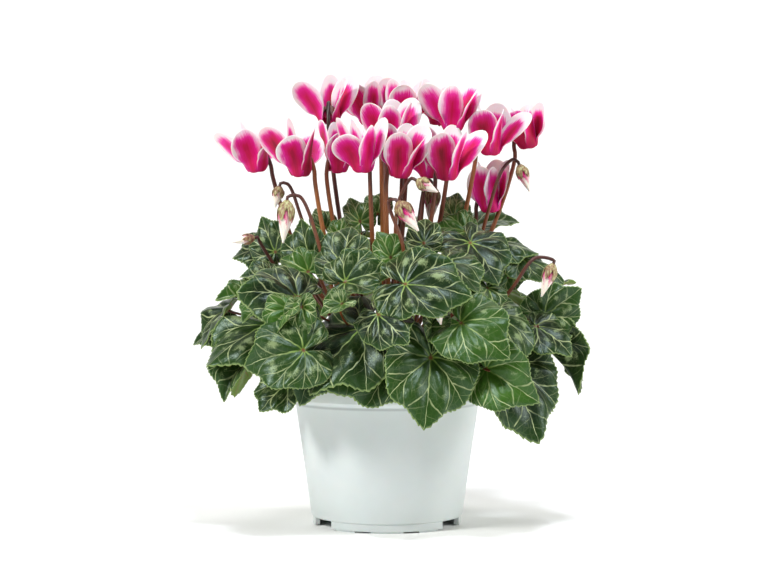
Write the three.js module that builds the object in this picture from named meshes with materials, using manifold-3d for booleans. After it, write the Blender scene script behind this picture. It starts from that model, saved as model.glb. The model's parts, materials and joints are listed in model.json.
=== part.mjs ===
// Potted cyclamen: a Persian cyclamen in flower, in its round plastic grower's pot.
// Millimetres, +Z up. The origin is the middle of the pot's foot, on the ground, and -Y is the front.
//
// The plant grows from one tuber, half sunk in the compost. Flower stalks rise from the middle of its
// crown, each bent over at the top so that the flower nods, with its five petals swept back upwards.
// Leaves grow round them in twos and threes on long stalks, and lie over each other like roof tiles.
import * as THREE from "three";
import { mergeVertices } from "three/addons/utils/BufferGeometryUtils.js";
import Module from "manifold-3d";

// Pot
const POT_HEIGHT = 102;
const POT_SIDES = 32;
const RIM_RADIUS = 65;
const BAND_RADIUS = 64.3; // bottom of the upright band under the rim
const BAND_BOTTOM = 80;
const NECK_RADIUS = 59.2; // top of the tapered side
const BASE_RADIUS = 48.6;
const WALL = 1.6;
const FLOOR_BOTTOM = 5.5;
const FLOOR_TOP = 7.3;
const FOOT_OUTER = 47.8;
const FOOT_INNER = 44.8;
const FOOT_COUNT = 3;
const FOOT_ARC = 94; // degrees that each foot takes
const PAD_HEIGHT = 1;
const PAD_INSET = 0.5;
const ARC_STEP = 24; // degrees between corners along a foot
const PADS = [[-42, -25], [-12.6, 12.6], [25, 42]]; // degrees from the middle of a foot
const DRAIN_COUNT = 5;
const DRAIN_RADIUS = 4;
const DRAIN_RING = 30;
const DRAIN_SIDES = 6;

// Compost and tuber
const GAP = 0.3; // between pieces that touch
const SOIL_TOP = 88;
const TUBER_RADIUS = 24;
const TUBER_HALF_HEIGHT = 13;
const TUBER_MIDDLE = 84;
const TUBER_SIDES = 12;

// Flowers, in millimetres from the mouth, along the flower's own axis
const PETAL_STEP = 60; // degrees between petals, which leaves a wider gap for the stalk
const PETAL_MIDDLE = 172; // degrees from the stalk round to the middle petal
const PETAL_LENGTH = 32;
const PETAL_THICKNESS = 0.9;
const PETAL_TWIST = 30; // degrees that each petal turns, so that it lies over the next
const CUP_RADIUS = 7.6; // where the petals turn upwards
const KNOB = [[-0.8, 4.8], [1.4, 5.8], [6, 3.2]]; // height and radius of the flower's tube
const KNOB_SIDES = 5;
const CALYX = [[9.6, 1.8], [8, 3.4], [6.3, 3.1]];
const STALK_SIDE = 9; // from the flower's axis to the stalk beside it
const HOOK = [[9.3, -7], [STALK_SIDE, 0], [7.4, 6], [4.6, 10.6], [1.8, 11.6], [0, 9.4]];
const STALK_RADIUS = 1.45;
const STALK_SIDES = 4;
const CROWN_RADIUS = 10.2; // flower stalks grow inside this ring
const CROWN_SPACING = 3.3; // and no closer together than this
const CROWN_SHARE = 0.16; // of the way out to its flower is where a stalk starts
const CROWN_ROUNDS = 80;
const CROWN_RISE = 14; // how far they stand straight up before they lean out
const ROOT_DEPTH = 1.5; // into the tuber
const STALK_BOW = 0.12; // how far they bow outwards, over how far out they reach

// Buds
const BUD_STALK_RADIUS = 1.2;
const BUD_STALK_SIDES = 3;
const BUD_SIDES = 5;
const BUD_NECK = 2.5; // length of the stalk's last, straight stretch
const BUD_BASE = 4; // from the middle of a bud's calyx back to its stalk
const BUD_SHAPE = [[0, 0.35], [0.2, 0.9], [0.4, 1], [0.7, 0.6], [1, 0.08]];

// Leaves
const BLADE_THICKNESS = 0.9;
const LEAF_STALK_RADIUS = 1.2;
const LEAF_STALK_SIDES = 3;
const LEAF_STALK_STEPS = 3;
const INNER_RING = 0.5; // where a blade's inner ring of corners lies, over its radius
const LEAF_STALK_JOINT = 0.2; // how far out to that ring the stalk meets the midrib
const STALK_DEPTH = 0.3;
const SECTOR = 21; // degrees between the radii of EDGE
const NOTCH = 168; // degrees from the tip round to the notch where the stalk joins
// Parts that each side of a blade's edge is drawn in, from a length up.
const BLADE_PARTS = [{ from: 43, parts: 8 }, { from: 26, parts: 6 }, { from: 0, parts: 4 }];
const EDGE = [1, 0.85, 0.8, 0.68, 0.68, 0.6, 0.62, 0.52, 0.42]; // radius, tip to notch, over length
const WAVE_SHIFT = 2.4; // radians from one leaf's waves to the next one's
const DOME_MIDDLE = new THREE.Vector3(0, 0, 100); // leaves face away from here
const TO_SKY = 0.3; // how far they turn up as well
const TO_FRONT = 0.6; // and to the front
const VIEWPOINT = new THREE.Vector3(0, -1100, 165); // the plant is drawn from here
const CLEARANCE = 0.5; // least space round a blade
const STALK_CLEARANCE = 0.3;
const STUB_RADIUS = 2.1;
const STUB_SPACING = 4.8;
const STUB_HEIGHT = 4;
const STUB_SIDES = 4;
const RING_ROUNDS = 200;
// Leaf nodes by how steeply their stalks rise: from this many degrees, on this ring of the crown.
const TIERS = [{ from: 48, ring: 14.2 }, { from: 22, ring: 17.2 }, { from: -30, ring: 20 }];

const SMOOTHING = 0.05; // how far a corner may move where two solids are joined

const RAD = Math.PI / 180;
const UP = new THREE.Vector3(0, 0, 1);
const FRONT = new THREE.Vector3(0, -1, 0);
const V = (x, y, z) => new THREE.Vector3(x, y, z);
const wasm = await Module();
wasm.setup();

// Solids
function solidFrom(points, faces) {
  const vertProperties = new Float32Array(points.flatMap((p) => [p.x, p.y, p.z]));
  const triVerts = new Uint32Array(faces.flat());
  return new wasm.Manifold(new wasm.Mesh({ numProp: 3, vertProperties, triVerts }));
}

function solidOf(geometry) {
  geometry.deleteAttribute("normal");
  geometry.deleteAttribute("uv");
  const merged = mergeVertices(geometry, 1e-4);
  const vertProperties = merged.attributes.position.array;
  const triVerts = new Uint32Array(merged.index.array);
  return new wasm.Manifold(new wasm.Mesh({ numProp: 3, vertProperties, triVerts }));
}

const join = (solids) => solids.reduce((all, solid) => all.add(solid));

// A closed solid through rings of equal count, each running anticlockwise seen from the next.
function loft(rings) {
  const sides = rings[0].length;
  const last = (rings.length - 1) * sides;
  const faces = [];
  for (let i = 0; i < last; i += sides) {
    for (let j = 0; j < sides; j++) {
      const k = (j + 1) % sides;
      faces.push([i + j, i + k, i + sides + k], [i + j, i + sides + k, i + sides + j]);
    }
  }
  for (let j = 2; j < sides; j++) {
    faces.push([0, j, j - 1], [last, last + j - 1, last + j]);
  }
  return solidFrom(rings.flat(), faces);
}

function ring(centre, across, up, sides) {
  return Array.from({ length: sides }, (_, i) => {
    const angle = (i * 360 * RAD) / sides;
    return centre.clone().addScaledVector(across, Math.cos(angle)).addScaledVector(up, Math.sin(angle));
  });
}

// A rod through points, square to its path at each of them, with its own radius at each of the last.
function rod(points, sides, radius, endRadii = []) {
  const normal = V(0.3, 1, 0.2);
  return loft(points.map((point, i) => {
    const before = points[Math.max(i - 1, 0)];
    const along = points[Math.min(i + 1, points.length - 1)].clone().sub(before).normalize();
    normal.addScaledVector(along, -normal.dot(along)).normalize();
    const size = endRadii[i - points.length + endRadii.length] ?? radius;
    const up = along.clone().cross(normal).multiplyScalar(size);
    return ring(point, normal.clone().multiplyScalar(size), up, sides);
  }));
}

// A round solid on an axis, from pairs of height and radius.
function turned(base, axis, profile, sides) {
  const across = V(1, 0.2, 0.1).cross(axis).normalize();
  const up = axis.clone().cross(across);
  return loft(profile.map(([height, radius]) => {
    const centre = base.clone().addScaledVector(axis, height);
    return ring(centre, across.clone().multiplyScalar(radius), up.clone().multiplyScalar(radius), sides);
  }));
}

function lathe(profile, sides) {
  const points = profile.map(([radius, height]) => new THREE.Vector2(radius, height));
  return solidOf(new THREE.LatheGeometry(points, sides).rotateX(90 * RAD));
}

// Ring sector from angle to angle in degrees, between two radii and two heights.
function sector(inner, outer, from, to, bottom, top) {
  const shape = new THREE.Shape();
  shape.absarc(0, 0, outer, from * RAD, to * RAD, false);
  shape.absarc(0, 0, inner, to * RAD, from * RAD, true);
  const curveSegments = Math.ceil((to - from) / ARC_STEP);
  const block = new THREE.ExtrudeGeometry(shape, { depth: top - bottom, bevelEnabled: false, curveSegments });
  return solidOf(block.translate(0, 0, bottom));
}

// Pot: one moulding with a wide upright band, holes to drain it and three feet.
function makePot() {
  const shell = lathe([
    [0, FLOOR_BOTTOM], [BASE_RADIUS, FLOOR_BOTTOM], [NECK_RADIUS, BAND_BOTTOM - 1],
    [BAND_RADIUS, BAND_BOTTOM + 1],
    [RIM_RADIUS, POT_HEIGHT - 0.8], [RIM_RADIUS - 0.6, POT_HEIGHT], [RIM_RADIUS - WALL, POT_HEIGHT],
    [BAND_RADIUS - WALL, BAND_BOTTOM + 3], [NECK_RADIUS - WALL, BAND_BOTTOM],
    [BASE_RADIUS - WALL, FLOOR_TOP], [0, FLOOR_TOP],
  ], POT_SIDES);
  const feet = [];
  for (let i = 0; i < FOOT_COUNT; i++) {
    const middle = -90 + (i * 360) / FOOT_COUNT;
    const half = FOOT_ARC / 2;
    feet.push(sector(FOOT_INNER, FOOT_OUTER, middle - half, middle + half, PAD_HEIGHT, FLOOR_BOTTOM + 0.5));
    for (const [from, to] of PADS) {
      const inner = FOOT_INNER + PAD_INSET;
      feet.push(sector(inner, FOOT_OUTER - PAD_INSET, middle + from, middle + to, 0, PAD_HEIGHT + 0.5));
    }
  }
  const drains = [];
  for (let i = 0; i < DRAIN_COUNT; i++) {
    const angle = (i * 360 * RAD) / DRAIN_COUNT;
    const drain = new THREE.CylinderGeometry(DRAIN_RADIUS, DRAIN_RADIUS, 10, DRAIN_SIDES).rotateX(90 * RAD);
    drain.translate(DRAIN_RING * Math.cos(angle), DRAIN_RING * Math.sin(angle), FLOOR_BOTTOM);
    drains.push(solidOf(drain));
  }
  return join([shell, ...feet]).subtract(join(drains));
}

function tuberBody(extra) {
  const ball = new THREE.SphereGeometry(1, TUBER_SIDES, TUBER_SIDES / 2).rotateX(90 * RAD);
  ball.scale(TUBER_RADIUS + extra, TUBER_RADIUS + extra, TUBER_HALF_HEIGHT + extra);
  return solidOf(ball.translate(0, 0, TUBER_MIDDLE));
}

// Height of the tuber's surface at a distance from its middle.
function tuberTop(radius) {
  return TUBER_MIDDLE + TUBER_HALF_HEIGHT * Math.sqrt(1 - (radius / TUBER_RADIUS) ** 2);
}

// Compost: fills the pot to below the rim, with a hollow that the tuber sits in.
function makeSoil() {
  const fill = lathe([
    [0, FLOOR_TOP + GAP], [BASE_RADIUS - WALL - GAP, FLOOR_TOP + GAP],
    [NECK_RADIUS - WALL - GAP, BAND_BOTTOM], [BAND_RADIUS - WALL - GAP, BAND_BOTTOM + 3 + GAP],
    [BAND_RADIUS - WALL - GAP, SOIL_TOP], [0, SOIL_TOP],
  ], POT_SIDES);
  return fill.subtract(tuberBody(GAP));
}

// Flowers: where the mouth is, how far the axis leans to the side and to the back, which way the stalk
// stands from the axis, in degrees from +X, and how far each petal spreads, from the stalk round.
const BLOOMS = [
  { at: [-83, -10, 229], lean: [-0.12, 0], stalk: 15, spread: [45, 12, 50, 36, 55] },
  { at: [-54, -35, 225], lean: [-0.02, -0.05], stalk: 8, spread: [58, 8, 44, 52, 22], length: 34 },
  { at: [-32, 0, 229], lean: [0, 0], stalk: 200, spread: [40, 30, 40, 20, 12] },
  { at: [-38, 25, 262], lean: [-0.03, 0], stalk: 268, spread: [26, 24, 8, 58, 44] },
  { at: [-15, -45, 227], lean: [0, -0.05], stalk: 62, spread: [24, 22, 62, 16, 16] },
  { at: [4, -15, 242], lean: [-0.05, 0], stalk: 150, spread: [28, 6, 24, 20, 15] },
  { at: [-11, 30, 262], lean: [-0.1, 0], stalk: 0, spread: [10, 28, 50, 30, 14] },
  { at: [13, 23, 262], lean: [0.05, 0], stalk: 80, spread: [24, 12, 22, 38, 26], length: 28 },
  { at: [8, -38, 224], lean: [0.1, -0.05], stalk: 170, spread: [12, 24, 34, 12, 16] },
  { at: [37, -45, 222], lean: [0, -0.03], stalk: 100, spread: [22, 28, 26, 44, 24], length: 34 },
  { at: [42, -10, 255], lean: [0.03, 0], stalk: 90, spread: [24, 40, 5, 36, 20] },
  { at: [66, -5, 240], lean: [0.03, 0], stalk: 178, spread: [26, 18, 50, 8, 14] },
  { at: [91, 5, 245], lean: [-0.16, 0], stalk: 182, spread: [14, 8, 14, 6, 18], length: 27 },
  { at: [67, 10, 204], lean: [-0.05, 0], stalk: 190, spread: [6, 4, 14, 8, 18], length: 32 },
  { at: [28, 15, 226], lean: [0, 0.1], stalk: 90, spread: [40, 74, 60, 56, 30] },
  { at: [11, 56, 264], lean: [0, 0.05], stalk: 270, spread: [26, 24, 20, 14, 14] },
  { at: [35, 38, 262], lean: [0.05, 0.15], stalk: 0, spread: [6, 10, 8, 6, 18], length: 27 },
];

function bloomFrame(bloom, { push, turn }) {
  const mouth = V(...bloom.at);
  mouth.addScaledVector(mouth.clone().sub(VIEWPOINT).normalize(), push);
  const axis = V(bloom.lean[0], bloom.lean[1], 1).normalize();
  const heading = (bloom.stalk + turn) * RAD;
  const side = V(Math.cos(heading), Math.sin(heading), 0);
  side.addScaledVector(axis, -side.dot(axis)).normalize();
  return { mouth, axis, side };
}

// Width of a petal and the hollow across it, at a share of its length.
const PETAL_BASE = { along: -0.1, half: 2.6 };
const PETAL_ROOT = [CUP_RADIUS - 3.4, 3.2]; // its base, inside the flower's tube
const PETAL_ROWS = [
  { along: 0.16, half: 5.6, hollow: 0.8 },
  { along: 0.54, half: 8.6, hollow: 1.2 },
  { along: 0.84, half: 6.6, hollow: 0.2 },
];

// Path of a petal, out and up, as distance from the flower's axis and height over its mouth.
function petalPath(spread, length, along) {
  if (along < 0) {
    return PETAL_ROOT;
  }
  const lean = 0.3 * spread * RAD;
  const rest = spread * RAD;
  const bend = [CUP_RADIUS + 0.4 * length * Math.sin(lean), 0.4 * length * Math.cos(lean)];
  const tip = [bend[0] + 0.6 * length * Math.sin(rest), bend[1] + 0.6 * length * Math.cos(rest)];
  const start = [CUP_RADIUS - 0.9, -1];
  const mix = (i) => (1 - along) ** 2 * start[i] + 2 * along * (1 - along) * bend[i] + along ** 2 * tip[i];
  return [mix(0), mix(1)];
}

function makePetal({ mouth, axis, side }, angle, spread, length) {
  const out = side.clone().applyAxisAngle(axis, angle * RAD);
  const across = axis.clone().cross(out);
  const place = (along, offset, hollow, lift) => {
    const [away, height] = petalPath(spread, length, along);
    const [nextAway, nextHeight] = petalPath(spread, length, along + 0.01);
    const rise = Math.atan2(nextHeight - height, nextAway - away);
    const face = out.clone().multiplyScalar(Math.sin(rise)).addScaledVector(axis, -Math.cos(rise));
    const line = face.clone().cross(across);
    const run = across.clone().applyAxisAngle(line, PETAL_TWIST * RAD);
    face.applyAxisAngle(line, PETAL_TWIST * RAD);
    const point = mouth.clone().addScaledVector(out, away).addScaledVector(axis, height);
    return point.addScaledVector(run, offset).addScaledVector(face, lift - hollow);
  };
  const half = PETAL_THICKNESS / 2;
  const faceOf = (lift) => [
    place(PETAL_BASE.along, -PETAL_BASE.half, 0, lift), place(PETAL_BASE.along, PETAL_BASE.half, 0, lift),
    ...PETAL_ROWS.flatMap((row) => [
      place(row.along, -row.half, row.hollow, lift), place(row.along, 0, 0, lift),
      place(row.along, row.half, row.hollow, lift),
    ]),
    place(1, 0, 0, lift),
  ];
  const top = [[0, 3, 2], [0, 1, 3], [1, 4, 3]];
  for (const i of [2, 3, 5, 6]) {
    top.push([i, i + 1, i + 4], [i, i + 4, i + 3]);
  }
  top.push([8, 9, 11], [9, 10, 11]);
  return sheet(faceOf(half), faceOf(-half), top, [0, 1, 4, 7, 10, 11, 8, 5, 2]);
}

// A thin solid between two faces that are split into the same triangles. The edge runs round the
// upper face, anticlockwise seen from above.
function sheet(upper, lower, triangles, edge) {
  const count = upper.length;
  const faces = [...triangles, ...triangles.map(([a, b, c]) => [a + count, c + count, b + count])];
  edge.forEach((a, i) => {
    const b = edge[(i + 1) % edge.length];
    faces.push([a, a + count, b + count], [a, b + count, b]);
  });
  return solidFrom([...upper, ...lower], faces);
}

function makeBloom(bloom, move) {
  const frame = bloomFrame(bloom, move);
  const knob = turned(frame.mouth, frame.axis, KNOB, KNOB_SIDES);
  const petals = bloom.spread.map((spread, i) =>
    makePetal(frame, PETAL_MIDDLE + (i - 2) * PETAL_STEP, spread, bloom.length ?? PETAL_LENGTH));
  return join([knob, ...petals]);
}

// A flower stalk from the crown, bowed outwards, up past the mouth and over into the calyx.
function makeStalk(bloom, move) {
  const { mouth, axis, side } = bloomFrame(bloom, move);
  const hook = HOOK.map(([out, height]) =>
    mouth.clone().addScaledVector(side, out).addScaledVector(axis, height));
  const foot = bloom.root;
  const bow = V(hook[0].x, hook[0].y, 0).multiplyScalar(STALK_BOW);
  const middle = foot.clone().lerp(hook[0], 0.5).add(bow);
  const start = foot.clone().addScaledVector(UP, CROWN_RISE);
  const rise = new THREE.CatmullRomCurve3([foot, start, middle, hook[0], hook[1]]);
  const over = new THREE.CatmullRomCurve3(hook.slice(1));
  const calyx = CALYX.map(([height]) => mouth.clone().addScaledVector(axis, height));
  const points = [...rise.getSpacedPoints(5), ...over.getSpacedPoints(4).slice(1, -1), ...calyx];
  return rod(points, STALK_SIDES, STALK_RADIUS, CALYX.map(([, radius]) => radius));
}

// Flower stalks stand side by side on the crown, each on the side that it leans to.
function setRoots(flowers) {
  const roots = flowers.map(({ at, low }) => V(...(low ?? at)).setZ(0).multiplyScalar(CROWN_SHARE));
  for (let round = 0; round < CROWN_ROUNDS; round++) {
    for (const root of roots) {
      for (const other of roots) {
        const apart = root.clone().sub(other);
        const short = CROWN_SPACING - apart.length();
        if (other !== root && short > 0) {
          root.addScaledVector(apart.normalize(), short / 2);
        }
      }
      root.clampLength(0, CROWN_RADIUS);
    }
  }
  flowers.forEach((flower, i) => {
    flower.root = roots[i].setZ(tuberTop(roots[i].length()) - ROOT_DEPTH);
  });
}

// Buds: the middle of the calyx, the tip, the top of the stalk's bend, a point lower on the stalk, and
// the bud's radius.
const BUDS = [
  { at: [-62, -50, 202], tip: [-64, -52, 180], bend: [-54, -50, 209], low: [-38, -40, 165], radius: 4.6 },
  { at: [-69, -20, 212], tip: [-71, -20, 203], bend: [-63, -20, 218], low: [-54, -15, 195], radius: 3.3 },
  { at: [-88, -25, 183], tip: [-98, -25, 181], bend: [-81, -22, 182], low: [-71, -15, 165], radius: 3 },
  { at: [9, -70, 201], tip: [19, -72, 187], bend: [1, -65, 205], low: [10, -60, 176], radius: 4.8 },
  { at: [22, -60, 216], tip: [31, -60, 211], bend: [14, -55, 219], low: [7, -50, 205], radius: 3.6 },
  { at: [87, 0, 227], tip: [92, 0, 214], bend: [82, 0, 235], low: [75, 0, 229], radius: 3.6 },
  { at: [101, -50, 163], tip: [95, -52, 147], bend: [92, -48, 171], low: [77, -40, 151], radius: 3.8 },
  { at: [30, -88, 142], tip: [32, -88, 131], bend: [27, -84, 148], low: [19, -75, 130], radius: 3.8 },
  { at: [30, 38, 215], tip: [29, 38, 194], bend: [27, 36, 224], low: [20, 28, 190], radius: 5 },
];

function budAxis(bud) {
  const axis = V(...bud.tip).sub(V(...bud.at)).normalize();
  return { axis, base: V(...bud.at).addScaledVector(axis, -BUD_BASE) };
}

function makeBud(bud) {
  const { axis, base } = budAxis(bud);
  const length = V(...bud.tip).distanceTo(base);
  const profile = BUD_SHAPE.map(([height, radius]) => [height * length, radius * bud.radius]);
  return turned(base, axis, profile, BUD_SIDES);
}

function makeBudStalk(bud) {
  const { axis, base } = budAxis(bud);
  const neck = base.clone().addScaledVector(axis, -BUD_NECK);
  const low = V(...bud.low);
  const foot = bud.root;
  const middle = foot.clone().lerp(low, 0.5).add(V(low.x, low.y, 0).multiplyScalar(STALK_BOW));
  const start = foot.clone().addScaledVector(UP, CROWN_RISE);
  const curve = new THREE.CatmullRomCurve3([foot, start, middle, low, V(...bud.bend), neck]);
  const points = [...curve.getPoints(7), base.addScaledVector(axis, -GAP)];
  return rod(points, BUD_STALK_SIDES, BUD_STALK_RADIUS);
}

// Leaves: where the stalk meets the blade, the blade's tip, and the fold along its midrib in degrees,
// less than nothing where the sides hang down. Most turn towards the front, by the share in front.
const LEAVES = [
  { at: [-55, -60, 147], tip: [-89, -70, 151], fold: -10 },
  { at: [11, -84, 155], tip: [48, -94, 150], fold: 0 },
  { at: [44, -88, 132], tip: [71, -101, 113], fold: 0 },
  { at: [26, -84, 111], tip: [22, -101, 71], fold: 10 },
  { at: [-15, -68, 128], tip: [-49, -92, 89], fold: -12 },
  { at: [-50, -78, 115], tip: [-86, -82, 109], fold: 0 },
  { at: [1, -74, 109], tip: [-33, -93, 98], fold: -15 },
  { at: [-5, -92, 137], tip: [12, -106, 121], fold: -25 },
  { at: [67, -58, 135], tip: [82, -74, 106], fold: -12 },
  { at: [73, -54, 103], tip: [93, -70, 62], fold: 0 },
  { at: [60, -77, 104], tip: [86, -93, 88], fold: 12 },
  { at: [100, -22, 135], tip: [121, -28, 151], fold: 10 },
  { at: [98, -15, 116], tip: [121, -35, 88], fold: 35, front: 0 },
  { at: [36, -62, 168], tip: [54, -77, 150], fold: -10 },
  { at: [52, -32, 180], tip: [69, -51, 157], fold: 0 },
  { at: [58, 30, 192], tip: [87, 34, 196], fold: 10 },
  { at: [71, -6, 181], tip: [96, -10, 174], fold: -12 },
  { at: [86, -12, 171], tip: [111, -14, 154], fold: -15 },
  { at: [23, -40, 180], tip: [24, -32, 196], fold: 12 },
  { at: [-25, -63, 156], tip: [2, -71, 164], fold: 20 },
  { at: [-27, -42, 166], tip: [-23, -28, 190], fold: 10 },
  { at: [-48, -22, 169], tip: [-52, -12, 194], fold: 15 },
  { at: [-75, -32, 129], tip: [-110, -52, 108], fold: -10 },
  { at: [-88, -38, 108], tip: [-101, -50, 84], fold: 30 },
  { at: [-61, -55, 94], tip: [-77, -67, 78], fold: 0 },
  { at: [-73, -24, 157], tip: [-94, -29, 160], fold: 20 },
  { at: [-86, -14, 144], tip: [-106, -24, 147], fold: 30 },
  { at: [-99, -17, 139], tip: [-119, -29, 116], fold: 10 },
  { at: [-106, 15, 124], tip: [-127, 20, 115], fold: 10 },
  { at: [-72, 0, 175], tip: [-81, 5, 197], fold: 10 },
  { at: [-74, -10, 179], tip: [-99, -12, 172], fold: -10 },
  { at: [-49, -42, 162], tip: [-66, -36, 171], fold: 20 },
  { at: [50, -12, 188], tip: [32, -18, 191], fold: 20 },
  { at: [93, -34, 128], tip: [114, -46, 112], fold: -10 },
  { at: [110, 20, 150], tip: [123, 22, 156], fold: 10, front: 0 },
  { at: [-18, 20, 195], tip: [-24, 25, 211], fold: 20 },
  { at: [-6, 30, 200], tip: [-2, 38, 215], fold: 20 },
  { at: [44, 26, 198], tip: [47, 34, 214], fold: 20 },
];

// The back of the plant, which repeats the front's three tiers with full-grown leaves.
const BACK_TIERS = [
  { count: 6, from: 16, to: 164, away: 84, height: 112, length: 42, drop: 34 },
  { count: 5, from: 26, to: 154, away: 70, height: 148, length: 40, drop: 18 },
  { count: 3, from: 46, to: 134, away: 45, height: 183, length: 38, drop: 6 },
];

function backLeaves() {
  return BACK_TIERS.flatMap(({ count, from, to, away, height, length, drop }, tier) =>
    Array.from({ length: count }, (_, i) => {
      const angle = (from + ((to - from) * i) / (count - 1)) * RAD;
      const turn = angle + 0.35 * Math.sin(7 * i + 2 * tier);
      const rise = 5 * Math.sin(4 * i + tier);
      const reach = Math.sqrt(length ** 2 - drop ** 2);
      const at = [away * Math.cos(angle), away * Math.sin(angle), height + rise];
      const tip = [at[0] + reach * Math.cos(turn), at[1] + reach * Math.sin(turn), at[2] - drop];
      return { at, tip, fold: 10 * Math.sin(3 * i + tier), front: 0 };
    }));
}

const leaves = [...LEAVES, ...backLeaves()].map((leaf, i) => {
  const length = V(...leaf.tip).distanceTo(V(...leaf.at));
  const { parts } = BLADE_PARTS.find(({ from }) => length >= from);
  return { front: TO_FRONT, ...leaf, wave: WAVE_SHIFT * i, parts };
});

// The blade's own directions: along the midrib, across it, and the way its upper face looks.
function leafFrame(leaf, move) {
  const at = V(...leaf.at);
  const sight = at.clone().sub(VIEWPOINT).normalize();
  const along = V(...leaf.tip).sub(at);
  const length = along.length();
  along.normalize();
  const face = at.clone().addScaledVector(along, length / 2).sub(DOME_MIDDLE).normalize();
  face.addScaledVector(UP, TO_SKY).addScaledVector(FRONT, leaf.front);
  face.addScaledVector(along, -face.dot(along)).normalize();
  face.applyAxisAngle(along, move.roll * RAD);
  const across = along.clone().cross(face);
  along.applyAxisAngle(across, move.pitch * RAD);
  face.applyAxisAngle(across, move.pitch * RAD);
  at.addScaledVector(sight, move.push);
  const frame = { at, along, across, face, length: length * move.size };
  frame.joint = at.clone().lerp(bladePoint(leaf, frame, 0, INNER_RING, -STALK_DEPTH), LEAF_STALK_JOINT);
  return frame;
}

function edgeRadius(angle) {
  const place = Math.abs(angle) / SECTOR;
  const low = Math.min(Math.floor(place), EDGE.length - 2);
  return THREE.MathUtils.lerp(EDGE[low], EDGE[low + 1], place - low);
}

// Height of a blade over its flat outline: a shallow funnel whose edge waves and whose tip bends down.
function bladeHeight(leaf, angle, share) {
  const y = share * edgeRadius(angle) * Math.cos(angle * RAD);
  const wave = 0.055 * share ** 2 * Math.sin(5 * angle * RAD + leaf.wave);
  return 0.16 * share - 0.06 * share ** 3 + wave - 0.2 * y ** 2;
}

function bladePoint(leaf, frame, angle, share, lift) {
  const radius = share * edgeRadius(angle);
  const x = radius * Math.sin(angle * RAD);
  const y = radius * Math.cos(angle * RAD);
  const fold = leaf.fold * RAD;
  const height = bladeHeight(leaf, angle, share) - y * bladeHeight(leaf, 0, 1) + Math.abs(x) * Math.sin(fold);
  return frame.at.clone()
    .addScaledVector(frame.along, y * frame.length)
    .addScaledVector(frame.across, x * Math.cos(fold) * frame.length)
    .addScaledVector(frame.face, height * frame.length + lift);
}

function makeBlade(leaf, frame, extra) {
  const lift = BLADE_THICKNESS / 2 + extra;
  const { parts } = leaf;
  const step = NOTCH / parts;
  const faceOf = (height) => {
    const points = [bladePoint(leaf, frame, 0, 0, height)];
    for (let i = -parts; i <= parts; i += 2) {
      points.push(bladePoint(leaf, frame, i * step, INNER_RING, height));
    }
    for (let i = -parts; i <= parts; i++) {
      points.push(bladePoint(leaf, frame, i * step, 1, height));
    }
    return points;
  };
  const faces = [];
  for (let i = 0; i < parts; i++) {
    const inner = 1 + i;
    const outer = parts + 2 + 2 * i;
    faces.push([0, inner + 1, inner], [inner, outer + 1, outer]);
    faces.push([inner, inner + 1, outer + 1], [inner + 1, outer + 2, outer + 1]);
  }
  const outline = [0, parts + 1, ...Array.from({ length: 2 * parts + 1 }, (_, i) => 3 * parts + 2 - i), 1];
  return sheet(faceOf(lift), faceOf(-lift), faces, outline);
}

// The stub that a node's leaves grow from stands square to the tuber's skin.
function stubPlace({ angle, radius }, shift) {
  const heading = angle + shift * RAD;
  const skin = V(radius * Math.cos(heading), radius * Math.sin(heading), tuberTop(radius));
  const flatness = (TUBER_RADIUS / TUBER_HALF_HEIGHT) ** 2;
  const axis = V(skin.x, skin.y, (skin.z - TUBER_MIDDLE) * flatness).normalize();
  return { base: skin.addScaledVector(axis, GAP), axis };
}

function makeStub(leafGroup, shift) {
  const { base, axis } = stubPlace(leafGroup, shift);
  return turned(base, axis, [[0, STUB_RADIUS], [STUB_HEIGHT, STUB_RADIUS * 0.7]], STUB_SIDES);
}

// A leaf's stalk rises from the crown and bends out to the underside of its blade.
function makeLeafStalk({ foot, frame }, bend, extra) {
  const far = frame.at.distanceTo(foot);
  const out = V(frame.at.x, frame.at.y, 0).normalize();
  const sideways = out.clone().cross(UP);
  const start = foot.clone().addScaledVector(UP, 0.3 * far).addScaledVector(out, 0.12 * far);
  const end = frame.at.clone().addScaledVector(frame.face, -bend.reach * far);
  end.addScaledVector(out, -0.1 * far).addScaledVector(UP, bend.bow).addScaledVector(sideways, bend.sway);
  start.addScaledVector(sideways, bend.sway + bend.swing);
  const points = new THREE.CubicBezierCurve3(foot, start, end, frame.joint).getPoints(LEAF_STALK_STEPS);
  return rod(points, LEAF_STALK_SIDES, LEAF_STALK_RADIUS + extra, [0.6 * LEAF_STALK_RADIUS]);
}

const boxed = (solid, owner) => ({ solid, box: solid.boundingBox(), owner });

// What has been placed so far. The owner is the leaf that a blade is part of, or the foot of a stalk.
const placed = [];
const place = (solid, owner) => placed.push(boxed(solid, owner));

function isClear(solid, others = placed) {
  const box = solid.boundingBox();
  return others.every((other) => {
    const apart = [0, 1, 2].some((i) => box.min[i] > other.box.max[i] || box.max[i] < other.box.min[i]);
    return apart || solid.intersect(other.solid).isEmpty();
  });
}

// The first of some choices that passes a test, which every piece of this plant has.
function firstOf(list, test, name) {
  const found = list.find(test);
  if (found === undefined) {
    throw new Error(`no clear place for ${name}`);
  }
  return found;
}

// Small changes to a leaf's place and stalk, the smallest first.
function choices(lists, cost) {
  let rows = [{}];
  for (const [name, values] of Object.entries(lists)) {
    rows = rows.flatMap((row) => values.map((value) => ({ ...row, [name]: value })));
  }
  return rows.sort((a, b) => cost(a) - cost(b));
}

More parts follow.
